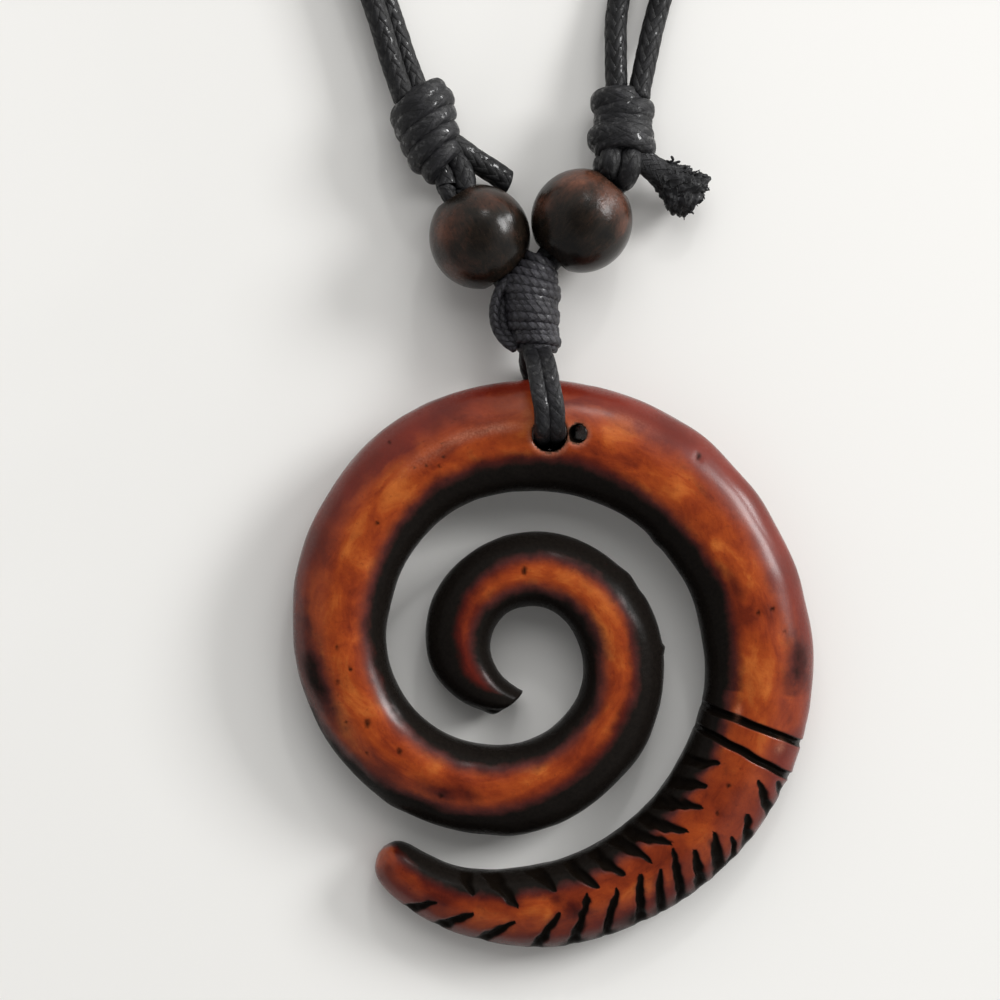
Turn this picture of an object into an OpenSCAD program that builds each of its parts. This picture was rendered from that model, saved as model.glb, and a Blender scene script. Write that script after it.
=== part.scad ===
// Spiral pendant necklace, lying face up. One flat carved arm winds about two turns to a
// hook-like tail. It hangs on a lashed cord with two beads, two sliding knots and a double neck cord.
// Millimetres, +Z up off the surface it lies on, +Y from the pendant towards the back of the neck.

/* [Pendant] */
// Width of the spiral, left to right
spiral_w = 41.8; // [38:0.2:46]
// Width of the arm at its widest
arm_w = 8.7; // [7.5:0.1:9]
// Thickness of the arm at its thickest
arm_t = 5.6; // [4.5:0.1:7]
// Diameter of the hole that the cord goes through
hole_d = 2.8; // [2.6:0.1:3.6]
// Diameter of the small hole beside it
side_hole_d = 1.6; // [1:0.1:2]
// Width of a band groove
groove_w = 0.8; // [0.4:0.1:1.2]
// Depth of a band groove
groove_depth = 0.45; // [0.2:0.05:0.8]
// Width of a herringbone cut at the edge of the arm
cut_w = 1.1; // [0.6:0.1:1.4]

/* [Pendant loop] */
// Width of the two thin cords side by side
loop_w = 2.4; // [2:0.1:2.4]
// Thickness of the thin cords
loop_t = 1.3; // [1:0.1:1.6]
// Distance from the rim of the pendant up to the lashing
loop_reach = 2.1; // [2:0.1:4]

/* [Lashing] */
// Largest diameter of the lashing
lashing_d = 5.2; // [4.8:0.1:5.8]
// Length of the lashing
lashing_len = 5.2; // [4.5:0.1:7]
// Turns of thread in the lashing
lashing_turns = 7; // [5:1:9]

/* [Beads] */
// Diameter of a bead
bead_d = 8; // [7:0.1:9]
// Diameter of the hole through a bead
bore_d = 2.8; // [2.7:0.1:3.4]
// Gap between the beads
bead_gap = 0.25; // [0.15:0.05:0.6]

/* [Cord] */
// Diameter of the neck cord and of the left free end
cord_d = 1.8; // [1.6:0.1:1.8]
// Diameter of the doubled cord through a bead
bead_cord_d = 2.3; // [2:0.1:2.5]
// Length of doubled cord between a bead and its knot
bead_cord_show = 1.7; // [1.5:0.1:3]

/* [Knots] */
// Diameter of a sliding knot
knot_d = 5.2; // [4.8:0.1:5.8]
// Length of the left knot
knot_left_len = 7.7; // [6:0.1:9]
// Length of the right knot
knot_right_len = 6.2; // [5:0.1:8]
// Length of the free end beside a knot
tail_len = 5.6; // [4:0.1:7]

/* [Hidden] */

// Clearance between pieces that touch on the real necklace
fit = 0.12;
stained_bone = [0.62, 0.27, 0.11];
dark_wood = [0.20, 0.11, 0.08];
black_cotton = [0.10, 0.10, 0.11];

// The arm from its inner tip to its tail, a row for each section:
// polar angle and skew in degrees, then the middle radius as a share of spiral_w,
// the width as a share of arm_w and the thickness as a share of arm_t.
ANGLE = 0;
SKEW = 1;
MIDDLE = 2;
WIDTH = 3;
THICK = 4;
ARM = [
    [ 232,   -5, 0.082, 0.29, 0.60],
    [ 210,   -2, 0.103, 0.44, 0.70],
    [ 180,    0, 0.139, 0.60, 0.78],
    [ 150,    0, 0.170, 0.65, 0.82],
    [ 120,    0, 0.188, 0.65, 0.84],
    [  90,    0, 0.191, 0.69, 0.86],
    [  60,    0, 0.181, 0.71, 0.88],
    [  30,    0, 0.171, 0.75, 0.90],
    [   0,    0, 0.166, 0.75, 0.92],
    [ -30,    0, 0.173, 0.77, 0.94],
    [ -60,    0, 0.189, 0.81, 0.95],
    [ -90,    0, 0.222, 0.86, 0.96],
    [-120,    0, 0.262, 0.87, 0.97],
    [-150,    0, 0.316, 0.86, 0.98],
    [-180,    0, 0.369, 0.86, 0.99],
    [-210,    0, 0.412, 0.94, 1.00],
    [-240,    0, 0.444, 0.99, 1.00],
    [-270,    0, 0.448, 1.03, 1.00],
    [-300,    0, 0.443, 1.02, 1.00],
    [-330,    0, 0.431, 1.00, 1.00],
    [-360,    0, 0.426, 1.00, 1.00],
    [-390,    0, 0.425, 0.97, 0.98],
    [-420,    0, 0.435, 0.88, 0.94],
    [-450,    0, 0.458, 0.75, 0.88],
    [-470,    0, 0.470, 0.58, 0.80],
    [-480,    0, 0.470, 0.51, 0.74],
    [-486,    0, 0.466, 0.44, 0.66],
    [-489,    0, 0.463, 0.31, 0.52],
    [-490.4,  0, 0.463, 0.09, 0.30]
];
RINGS_A_ROW = 4;
SECTION_SIDES = 16;

// Where the section is widest, as a share of its thickness, and how square it is above and below
WAIST = 0.42;
TOP_ROUND = 2.3;
BACK_ROUND = 5;
// Over 1 flattens the middle of the back
FLAT_BACK = 1.04;

// Polar angles of the top of the ring, the bottom of the tail, the holes and the band grooves,
// and how far outside the middle of the arm the holes are
TOP_ANGLE = -271;
BOTTOM_ANGLE = -445;
HOLE_ANGLE = -273;
HOLE_OUT = 0.2;
SIDE_HOLE_ANGLE = -279.5;
SIDE_HOLE_OUT = 0.6;
GROOVES = [-374, -381.5];
GROOVE_SKEW = -1.2;

// A herringbone cut's lowest point at the edge of the arm, as a share of the arm's thickness, and
// its depth where it ends
CUT_FLOOR = 0.3;
CUT_END_DEPTH = 0.1;

// Herringbone cuts, a row for each: polar angle at the edge of the arm, polar angle where the
// cut ends at the spine, and how far across the arm that is, from -1 inside to 1 outside
INNER_CUTS = [
    [-392, -388, -0.40], [-398, -393, -0.30], [-408, -399, -0.15], [-415, -406, -0.10],
    [-423, -412, -0.10], [-427, -421, -0.10], [-435, -428, -0.20], [-439, -433, -0.25],
    [-450, -444, -0.30], [-462, -455, -0.20], [-471, -464, -0.15]
];
OUTER_CUTS = [
    [-392, -385, 0.75], [-396, -387, 0.60], [-403, -394, 0.60], [-411, -402, 0.45],
    [-415, -408, 0.35], [-420, -412, 0.25], [-424, -418, 0.10], [-428, -424, 0.05],
    [-438, -431, 0.35], [-443, -436, 0.00], [-451, -444, 0.00], [-461, -455, 0.20],
    [-472, -465, 0.10], [-478, -475, 0.30]
];

// The pair of neck strands, from the left knot round to the right knot: the middle of the pair,
// then half the distance between the strands, seen from above, and how much higher the outer one is
SPREAD = 3;
LIFT = 4;
NECK = [
    [-12.5,  53.4, 1.75, 0.62, 1.5], [-15.2,  61.0, 1.65, 0.62, 1.5], [-20.0,  71.0, 1.5, 0.8, 1.2],
    [-28.0,  83.0, 1.1, 1.05, 0.3], [-37.5,  96.0, 0.9, 1.05, 0], [-46.0, 111.0, 0.9, 1.05, 0],
    [-51.0, 128.0, 0.9, 1.05, 0], [-50.5, 146.0, 0.9, 1.05, 0], [-43.5, 162.0, 0.9, 1.05, 0],
    [-31.0, 174.0, 0.9, 1.05, 0], [-16.0, 180.5, 0.9, 1.05, 0], [  0.0, 182.0, 0.9, 1.05, 0],
    [ 16.0, 180.5, 0.9, 1.05, 0], [ 31.0, 174.0, 0.9, 1.05, 0], [ 43.5, 162.0, 0.9, 1.05, 0],
    [ 50.5, 146.0, 0.9, 1.05, 0], [ 51.0, 128.0, 0.9, 1.05, 0], [ 45.5, 110.0, 0.9, 1.05, 0],
    [ 36.0,  94.5, 0.9, 1.15, 0], [ 25.0,  81.5, 0.9, 1.40, 0], [ 15.5,  70.0, 0.9, 1.70, 0],
    [ 10.2,  60.5, 0.9, 1.80, 0], [  8.2,  53.4, 1.2, 1.65, 0]
];
NECK_STEPS = 2;

// Shared functions

function unit(v) = v / norm(v);

function flat_dir(angle) = [cos(angle), sin(angle), 0];

function spline(a, b, c, d, t) =
    0.5 * (2 * b + (c - a) * t + (2 * a - 5 * b + 4 * c - d) * t * t
           + (3 * b - a - 3 * c + d) * t * t * t);

// The row at place u of a table, smooth between its rows
function row_at(table, u) =
    let (last = len(table) - 1, i = min(floor(u), last - 1))
    spline(table[max(i - 1, 0)], table[i], table[i + 1], table[min(i + 2, last)], u - i);

function smooth(points, steps) =
    [for (i = [0 : (len(points) - 1) * steps]) row_at(points, i / steps)];

function tangent(points, i) =
    unit(points[min(i + 1, len(points) - 1)] - points[max(i - 1, 0)]);

// A tube of eight sides along points, [width, height] across; up is the direction its height
// leans towards
module tube(points, size, up) {
    sides = 8;
    turn = 180 / sides;
    half = size / 2 / cos(turn);
    rings = [for (i = [0 : len(points) - 1])
        let (along = tangent(points, i), side = unit(cross(up, along)), top = cross(along, side))
        [for (k = [0 : sides - 1])
            let (a = turn + 360 * k / sides)
            points[i] + side * half[0] * cos(a) + top * half[1] * sin(a)]];
    skin(rings);
}

// A closed solid through rings of points, with a fan at each end
module skin(rings) {
    sides = len(rings[0]);
    count = len(rings);
    ring_points = [for (ring = rings) each ring];
    ends = [for (ring = [rings[0], rings[count - 1]]) [for (k = [0 : 2])
        sum([for (p = ring) p[k]]) / sides]];
    start = len(ring_points);
    walls = [for (i = [0 : count - 2], k = [0 : sides - 1])
        let (next = (k + 1) % sides, a = i * sides, b = a + sides)
        each [[a + k, b + k, a + next], [a + next, b + k, b + next]]];
    caps = [for (k = [0 : sides - 1])
        let (next = (k + 1) % sides, last = (count - 1) * sides)
        each [[start, k, next], [start + 1, last + next, last + k]]];
    polyhedron(concat(ring_points, ends), concat(walls, caps));
}

function sum(list) = list * [for (value = list) 1];

// Puts a piece measured from the middle of the spiral's eye in its place in the laid necklace
module placed() {
    translate([0, eye_y, 0])
        children();
}

// The pendant

function arm_at(angle) =
    let (u = [for (i = [0 : len(ARM) - 2])
        if (angle <= ARM[i][ANGLE] && angle >= ARM[i + 1][ANGLE])
            i + (ARM[i][ANGLE] - angle) / (ARM[i][ANGLE] - ARM[i + 1][ANGLE])][0])
    row_at(ARM, u);

function middle_r(row) = row[MIDDLE] * spiral_w;
function half_w(row) = row[WIDTH] * arm_w / 2;
function thickness(row) = row[THICK] * arm_t;

function power(x, p) = sign(x) * pow(abs(x), p);

SECTION = [for (i = [0 : SECTION_SIDES - 1])
    let (a = 360 * i / SECTION_SIDES, up = sin(a) >= 0, round = up ? TOP_ROUND : BACK_ROUND,
         rise = power(sin(a), 2 / round))
    [power(cos(a), 2 / round), WAIST + (up ? (1 - WAIST) * rise : WAIST * max(-1, rise * FLAT_BACK))]];

// Height of the arm's top at u across it, as a share of its thickness
function crown(u) = WAIST + (1 - WAIST) * pow(1 - pow(abs(u), TOP_ROUND), 1 / TOP_ROUND);

function arm_ring(row, inset = 0) = [for (s = SECTION)
    let (r = middle_r(row) + s[0] * (half_w(row) - inset), a = row[ANGLE] + row[SKEW] * s[0])
    [r * cos(a), r * sin(a), s[1] * (thickness(row) - inset)]];

function skewed(row, skew) = [row[ANGLE], skew, row[MIDDLE], row[WIDTH], row[THICK]];

function groove_rings(angle) =
    let (half_turn = groove_w / 2 / middle_r(arm_at(angle)) * 180 / PI)
    [for (side = [1, 0, -1])
        arm_ring(skewed(arm_at(angle + side * half_turn), GROOVE_SKEW), side == 0 ? groove_depth : 0)];

function plain_rings(from, to) = [for (i = [0 : (len(ARM) - 1) * RINGS_A_ROW])
    let (row = row_at(ARM, i / RINGS_A_ROW))
    if (row[ANGLE] <= from && row[ANGLE] > to) arm_ring(row)];

module arm() {
    groove_room = 5;
    tail_end = ARM[len(ARM) - 1][ANGLE];
    skin(concat(
        plain_rings(ARM[0][ANGLE], GROOVES[0] + groove_room),
        [for (angle = GROOVES) each groove_rings(angle)],
        plain_rings(GROOVES[1] - groove_room, tail_end - 1)));
}

// A cut with a pointed bed, widest and deepest at the edge of the arm, running out at the spine
module herringbone_cut(cut, side) {
    edge_row = arm_at(cut[0]);
    end_row = arm_at(cut[1]);
    over = 0.6;
    edge = flat_dir(cut[0]) * (middle_r(edge_row) + side * (half_w(edge_row) + over));
    end = flat_dir(cut[1]) * (middle_r(end_row) + cut[2] * half_w(end_row));
    across = unit(cross(end - edge, [0, 0, 1]));
    edge_z = thickness(edge_row) * CUT_FLOOR;
    end_z = thickness(end_row) * crown(cut[2]) - CUT_END_DEPTH;
    top_z = arm_t + over;
    hull()
        polyhedron(
            [edge + [0, 0, edge_z], edge - across * cut_w + [0, 0, top_z],
             edge + across * cut_w + [0, 0, top_z], end + [0, 0, end_z],
             end - across * cut_w / 4 + [0, 0, top_z], end + across * cut_w / 4 + [0, 0, top_z]],
            [[0, 1, 2], [3, 5, 4], [0, 3, 4, 1], [1, 4, 5, 2], [2, 5, 3, 0]]);
}

function hole_place(angle, out) = flat_dir(angle) * (middle_r(arm_at(angle)) + out);

module cord_hole(angle, out, d) {
    translate(hole_place(angle, out) - [0, 0, 1])
        cylinder(h = arm_t + 2, d = d, $fn = 24);
}

top_row = arm_at(TOP_ANGLE);
bottom_row = arm_at(BOTTOM_ANGLE);
rim_y = middle_r(top_row) + half_w(top_row);
low_y = -middle_r(bottom_row) - half_w(bottom_row);
foot_y = low_y + half_w(bottom_row) * 0.3;
// The origin is midway between the tail and the far end of the neck loop
neck_far = NECK[11];
eye_y = -(neck_far[1] + neck_far[SPREAD] + cord_d / 2 + low_y) / 2;
hole_at = hole_place(HOLE_ANGLE, HOLE_OUT);
// The loop under the rim tips the pendant up by this angle
tip = asin((loop_t + fit * 2) / (hole_at[1] - foot_y));

// Height of the flat back above the surface at y
function back_z(y) = (y - foot_y) * tan(tip);

module spiral_pendant() {
    color(stained_bone)
        placed()
            translate([0, foot_y, 0])
                rotate([tip, 0, 0])
                    translate([0, -foot_y, 0])
                        difference() {
                            arm();
                            cord_hole(HOLE_ANGLE, HOLE_OUT, hole_d);
                            cord_hole(SIDE_HOLE_ANGLE, SIDE_HOLE_OUT, side_hole_d);
                            for (cut = INNER_CUTS)
                                herringbone_cut(cut, -1);
                            for (cut = OUTER_CUTS)
                                herringbone_cut(cut, 1);
                        }
}

// The loop through the hole, and the lashing above it

lashing_lean = 6;
lashing_foot = [hole_at[0] - 1.35, rim_y + loop_reach, bead_d / 2];
lashing_dir = flat_dir(90 + lashing_lean);
lashing_top = lashing_foot + lashing_dir * lashing_len;
LASHING_FOOT_SHARE = 0.76;
LASHING_TOP_SHARE = 0.66;

// From the front of the lashing over the rim, down the hole and back under the rim
module pendant_loop() {
    half = loop_t / 2;
    over = half + fit;
    rim_top = back_z(rim_y) + arm_t;
    across = half_w(top_row);
    hole_x = hole_at[0];
    hole_y = hole_at[1];
    foot = lashing_foot - lashing_dir * fit;
    end_rise = lashing_d * LASHING_FOOT_SHARE / 2 - half;
    points = [
        foot - lashing_dir * 0.5 + [0.3, 0, end_rise],
        [hole_x - 0.6, rim_y + 0.9, rim_top * 0.9 + over * 0.3],
        [hole_x - 0.3, rim_y - across * 0.2, rim_top + over],
        [hole_x, hole_y + across * 0.38, rim_top + over * 1.5],
        [hole_x, hole_y + 0.1, rim_top],
        [hole_x, hole_y, rim_top * 0.5],
        [hole_x, hole_y + 0.1, half + 1.2],
        [hole_x, hole_y + 1, half + 0.1],
        [hole_x - 0.3, hole_y + across * 0.6, half + 0.1],
        [lashing_foot[0] + 0.1, rim_y + 0.2, half + 0.3],
        foot - lashing_dir * 0.5 - [0.2, 0, end_rise]
    ];
    color(black_cotton)
        placed()
            tube(
                concat([foot + [0.3, 0, end_rise]], smooth(points, 3), [foot - [0.2, 0, end_rise]]),
                [loop_t, loop_w], [1, 0, 0]);
}

// A round body of wraps side by side along +Z from 0: d_low and d_high at its ends, d between
module wraps(length, turns, d, d_low, d_high) {
    pitch = length / turns;
    core_r = min(d_low, d_high) / 2 - pitch / 2;
    rotate_extrude($fn = 48) {
        square([core_r, length]);
        for (i = [0 : turns - 1]) {
            share = turns > 1 ? i / (turns - 1) : 0.5;
            swell = pow(sin(180 * share), 0.5);
            end_d = d_low + (d_high - d_low) * share;
            wrap_r = (end_d + (d - end_d) * swell) / 2;
            translate([wrap_r - pitch / 2, pitch * (i + 0.5)])
                circle(d = pitch, $fn = 24);
            translate([0, pitch * i])
                square([wrap_r - pitch / 2, pitch]);
        }
    }
}

// Lays children that are made along +Z from a place along a direction, falling by an angle
module lying(at, angle, fall = 0) {
    translate(at)
        rotate([0, 90 + fall, angle])
            children();
}

module lashing() {
    color(black_cotton)
        placed()
            lying(lashing_foot, 90 + lashing_lean)
                wraps(lashing_len, lashing_turns, lashing_d,
                      lashing_d * LASHING_FOOT_SHARE, lashing_d * LASHING_TOP_SHARE);
}

// The beads. The line through both turns this far from X, and their holes point this way

BEADS_TURN = 9;
BORE_LEFT = 121;
BORE_RIGHT = 50;

bead_r = bead_d / 2;
bead_reach = bead_r + bead_gap / 2;
bead_shift = 0.45;
nestle = 0.55;
// The left bead nestles against the end of the lashing
bead_side = bead_reach * cos(BEADS_TURN) - bead_shift - lashing_d * LASHING_TOP_SHARE / 2;
bead_rise = sqrt(pow(bead_r + nestle, 2) - pow(bead_side, 2)) + bead_reach * sin(BEADS_TURN);
beads_middle = lashing_top + [bead_shift, bead_rise, 0];
bead_left_at = beads_middle - flat_dir(BEADS_TURN) * bead_reach;
bead_right_at = beads_middle + flat_dir(BEADS_TURN) * bead_reach;

module bead(at, angle) {
    color(dark_wood)
        placed()
            lying(at, angle)
                difference() {
                    sphere(d = bead_d, $fn = 64);
                    translate([0, 0, -bead_d])
                        cylinder(h = 2 * bead_d, d = bore_d, $fn = 32);
                }
}

module bead_left() {
    bead(bead_left_at, BORE_LEFT);
}

module bead_right() {
    bead(bead_right_at, BORE_RIGHT);
}

// The knots, each with its free end

KNOT_LEFT_ANGLE = 113;
KNOT_RIGHT_ANGLE = 90;
KNOT_FALL = 9;
KNOT_RAISED = 0.8;
// The way that each free end leaves its knot, seen from above, and its fall
END_LEFT_ANGLE = -33;
END_LEFT_FALL = 18;
END_RIGHT_ANGLE = -40;
END_RIGHT_FALL = 20;
// The right free end is frayed
FRAYED = 1.3;
// The cord leaves its bead straight for this far before it turns towards the knot
straight_out = bead_cord_d * 0.15;
knot_left_at = knot_foot(bead_left_at, BORE_LEFT, KNOT_LEFT_ANGLE);
knot_right_at = knot_foot(bead_right_at, BORE_RIGHT, KNOT_RIGHT_ANGLE);

// The lower end of a knot, past the mouth of its bead's hole
function knot_foot(bead_at, bore, angle) =
    bead_at + flat_dir(bore) * (bead_r + straight_out)
    + flat_dir((bore + angle) / 2) * (bead_cord_show - straight_out)
    + [0, 0, knot_d / 2 + KNOT_RAISED - bead_r];

function knot_dir(angle) = flat_dir(angle) * cos(KNOT_FALL) - [0, 0, sin(KNOT_FALL)];

// Low is the share of knot_d at the lower end. The free end comes out a share of the way up the
// knot, tail_side from its axis
module knot(at, angle, length, turns, low, share, tail_side, leave, fall, tail_d) {
    color(black_cotton)
        placed() {
            lying(at, angle, KNOT_FALL)
                wraps(length, turns, knot_d, knot_d * low, knot_d * 0.84);
            lying(at + knot_dir(angle) * length * share + flat_dir(angle - 90) * tail_side, leave, fall)
                cylinder(h = tail_len, d = tail_d, $fn = 24);
        }
}

module knot_left() {
    knot(knot_left_at, KNOT_LEFT_ANGLE, knot_left_len, turns = 5, low = 0.76,
         share = 0.32, tail_side = knot_d * 0.28,
         leave = END_LEFT_ANGLE, fall = END_LEFT_FALL, tail_d = cord_d);
}

module knot_right() {
    knot(knot_right_at, KNOT_RIGHT_ANGLE, knot_right_len, turns = 4, low = 0.84,
         share = 0.06, tail_side = knot_d * 0.4,
         leave = END_RIGHT_ANGLE, fall = END_RIGHT_FALL, tail_d = cord_d * FRAYED);
}

// The doubled cords through the beads, from just above the lashing to the knots

module bead_cord(bead_at, bore, start_show, knot_at, knot_angle) {
    out = flat_dir(bore);
    along = knot_dir(knot_angle);
    foot = knot_at - along * fit;
    color(black_cotton)
        placed()
            tube(
                [bead_at - out * (bead_r + start_show), bead_at + out * (bead_r + straight_out),
                 foot - along * 0.55, foot],
                [bead_cord_d, bead_cord_d], [0, 0, 1]);
}

module bead_cord_left() {
    bead_cord(bead_left_at, BORE_LEFT, 0.15, knot_left_at, KNOT_LEFT_ANGLE);
}

module bead_cord_right() {
    bead_cord(bead_right_at, BORE_RIGHT, 1.1, knot_right_at, KNOT_RIGHT_ANGLE);
}

// The neck cord

function knot_end(at, angle, past, spread, lift) =
    concat(at + knot_dir(angle) * past, [spread, lift]);

neck_pair = concat(
    [knot_end(knot_left_at, KNOT_LEFT_ANGLE, knot_left_len + fit * 1.5, 0.7, 1.4),
     knot_end(knot_left_at, KNOT_LEFT_ANGLE - 1, knot_left_len + 2.5, 0.65, 1.5)],
    NECK,
    [knot_end(knot_right_at, KNOT_RIGHT_ANGLE - 2, knot_right_len + 3.2, 1.35, 0),
     knot_end(knot_right_at, KNOT_RIGHT_ANGLE - 2, knot_right_len + fit, 1, 0)]);

module neck_strand(side) {
    pair = smooth(neck_pair, NECK_STEPS);
    middle = [for (p = pair) [p[0], p[1], p[2]]];
    points = [for (i = [0 : len(pair) - 1])
        let (p = middle[i] + side * pair[i][SPREAD] * unit(cross([0, 0, 1], tangent(middle, i))))
        [p[0], p[1], max(p[2] + side * pair[i][LIFT] / 2, cord_d / 2)]];
    color(black_cotton)
        placed()
            tube(points, [cord_d, cord_d], [0, 0, 1]);
}

module neck_cord_outer() {
    neck_strand(1);
}

module neck_cord_inner() {
    neck_strand(-1);
}

spiral_pendant();
pendant_loop();
lashing();
bead_left();
bead_right();
bead_cord_left();
bead_cord_right();
knot_left();
knot_right();
neck_cord_outer();
neck_cord_inner();
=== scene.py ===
import math

import bpy
import numpy as np
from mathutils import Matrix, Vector


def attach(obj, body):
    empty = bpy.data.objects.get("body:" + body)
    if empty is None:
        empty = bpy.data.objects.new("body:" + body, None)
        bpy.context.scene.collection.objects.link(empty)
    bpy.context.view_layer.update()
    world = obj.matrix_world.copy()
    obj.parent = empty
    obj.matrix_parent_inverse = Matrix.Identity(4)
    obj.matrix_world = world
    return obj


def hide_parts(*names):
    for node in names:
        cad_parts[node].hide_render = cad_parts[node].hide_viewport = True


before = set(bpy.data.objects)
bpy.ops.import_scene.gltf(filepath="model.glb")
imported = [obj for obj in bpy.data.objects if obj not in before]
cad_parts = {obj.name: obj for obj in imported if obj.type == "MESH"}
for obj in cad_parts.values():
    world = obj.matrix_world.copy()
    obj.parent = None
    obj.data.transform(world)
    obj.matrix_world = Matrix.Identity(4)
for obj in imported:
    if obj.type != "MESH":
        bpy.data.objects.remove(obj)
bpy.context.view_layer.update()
scene = bpy.context.scene
scene.view_settings.view_transform = "Standard"

# The camera
# It looks straight down on the laid necklace, from far enough away that the round beads and the
# flat pendant keep their true outlines.

MM = 0.001
view_centre = (-2.96, -67.35)
view_width = 80
view_height = 4
lens = 180
sensor_width = 36
camera = bpy.data.objects.new("camera", bpy.data.cameras.new("camera"))
camera.data.lens = lens
camera.data.sensor_width = sensor_width
camera.location = (view_centre[0] * MM, view_centre[1] * MM,
                   (view_height + view_width * lens / sensor_width) * MM)
scene.collection.objects.link(camera)
scene.camera = camera

# The pendant
# One flat arm of bone, carved as a spiral of two turns that ends in a hook-like tail. It is stained
# orange-brown, its edges are burnt black, its tail is cut in herringbone and it is lacquered.

spiral_w = 41.8
arm_w = 8.7
arm_t = 5.6
waist = 0.38
top_round = 2.1
back_round = 5
flat_back = 1.04
crown_lean = 0.06
eye_y = -80.79
foot_y = -21.36
tip = math.radians(2.19)

# Angle and skew in degrees, then middle radius, width and thickness as shares of the sizes above
ARM = [
    (232.5, -6, 0.0825, 0.30, 0.60), (210, -2, 0.103, 0.44, 0.70), (180, 0, 0.139, 0.60, 0.78),
    (150, 0, 0.170, 0.65, 0.82), (120, 0, 0.188, 0.65, 0.84), (90, 0, 0.191, 0.69, 0.86),
    (60, 0, 0.181, 0.71, 0.88), (30, 0, 0.171, 0.75, 0.90), (0, 0, 0.166, 0.75, 0.92),
    (-30, 0, 0.173, 0.77, 0.94), (-60, 0, 0.189, 0.81, 0.95), (-90, 0, 0.222, 0.86, 0.96),
    (-120, 0, 0.262, 0.87, 0.97), (-150, 0, 0.316, 0.86, 0.98), (-180, 0, 0.369, 0.86, 0.99),
    (-210, 0, 0.412, 0.94, 1.00), (-240, 0, 0.444, 0.99, 1.00), (-270, 0, 0.448, 1.03, 1.00),
    (-300, 0, 0.443, 1.02, 1.00), (-330, 0, 0.431, 1.00, 1.00), (-360, 0, 0.426, 1.00, 1.00),
    (-390, 0, 0.425, 0.97, 0.98), (-420, 0, 0.435, 0.88, 0.94), (-450, 0, 0.458, 0.75, 0.88),
    (-470, 0, 0.470, 0.58, 0.80), (-480, 0, 0.470, 0.51, 0.74), (-486, 0, 0.466, 0.44, 0.66),
    (-489, 0, 0.463, 0.31, 0.52), (-490.4, 0, 0.463, 0.09, 0.30),
]

# The stain by angle: where the inner and the outer black end and where the red-brown outside
# begins, from -1 at the arm's inner edge to 1 at its outer edge, and how orange the middle is
STAIN = [
    (232, -0.10, -0.90, 0.0, 0.0), (205, -0.30, -0.35, 0.0, 0.0), (190, -0.42, -0.10, 0.0, 0.02),
    (175, -0.46, 0.00, 0.1, 0.10), (160, -0.44, 0.02, 0.1, 0.25), (140, -0.44, 0.14, 0.2, 0.45),
    (120, -0.46, 0.30, 0.4, 0.80), (100, -0.48, 0.38, 0.5, 1.0), (80, -0.54, 0.42, 0.6, 1.0),
    (60, -0.50, 0.44, 0.6, 1.0), (40, -0.52, 0.42, 0.5, 1.0), (20, -0.55, 0.34, 0.3, 1.0),
    (0, -0.57, 0.32, 0.3, 1.0), (-30, -0.54, 0.22, 0.2, 1.0), (-60, -0.56, 0.17, 0.2, 1.0),
    (-80, -0.56, 0.20, 0.3, 1.0), (-100, -0.57, 0.33, 0.4, 1.0), (-120, -0.55, 0.50, 0.5, 1.0),
    (-135, -0.58, 0.56, 0.6, 1.0), (-150, -0.61, 0.72, 0.7, 1.0), (-165, -0.63, 0.88, 0.75, 1.0),
    (-180, -0.62, 1.00, 0.70, 1.0), (-200, -0.58, 1.10, 0.68, 1.0), (-220, -0.55, 1.20, 0.50, 0.95),
    (-240, -0.46, 1.20, 0.30, 1.0), (-260, -0.40, 1.20, 0.70, 1.0), (-280, -0.38, 1.20, 0.60, 1.0),
    (-300, -0.50, 1.15, 0.40, 1.0), (-320, -0.48, 1.20, 0.40, 1.0), (-335, -0.38, 1.20, 0.42, 1.0),
    (-345, -0.46, 1.20, 0.50, 1.0), (-360, -0.50, 1.20, 0.80, 1.0),
    (-372, -0.50, 1.10, 0.75, 0.9), (-378, -0.46, 1.02, 0.35, 0.65),
    (-385, -0.48, 0.98, 0.45, 0.70), (-400, -0.56, 0.94, 0.75, 0.62),
    (-420, -0.56, 0.84, 0.45, 0.62), (-430, -0.54, 0.80, 0.40, 0.70),
    (-440, -0.40, 0.80, 0.40, 0.50), (-452, -0.38, 0.90, 0.45, 0.55),
    (-462, -0.22, 0.94, 0.55, 0.52), (-472, -0.14, 0.98, 0.40, 0.40),
    (-480, -0.20, 1.10, 0.10, 0.34), (-487, -0.34, 1.25, 0.10, 0.45),
    (-491, -0.60, 1.30, 0.50, 0.95),
]

# The two band grooves, by the angle in the middle of the arm
GROOVES = (-374.0, -381.3)
groove_slant = -1.7
groove_depth = 0.42
groove_half = 0.33

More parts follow.
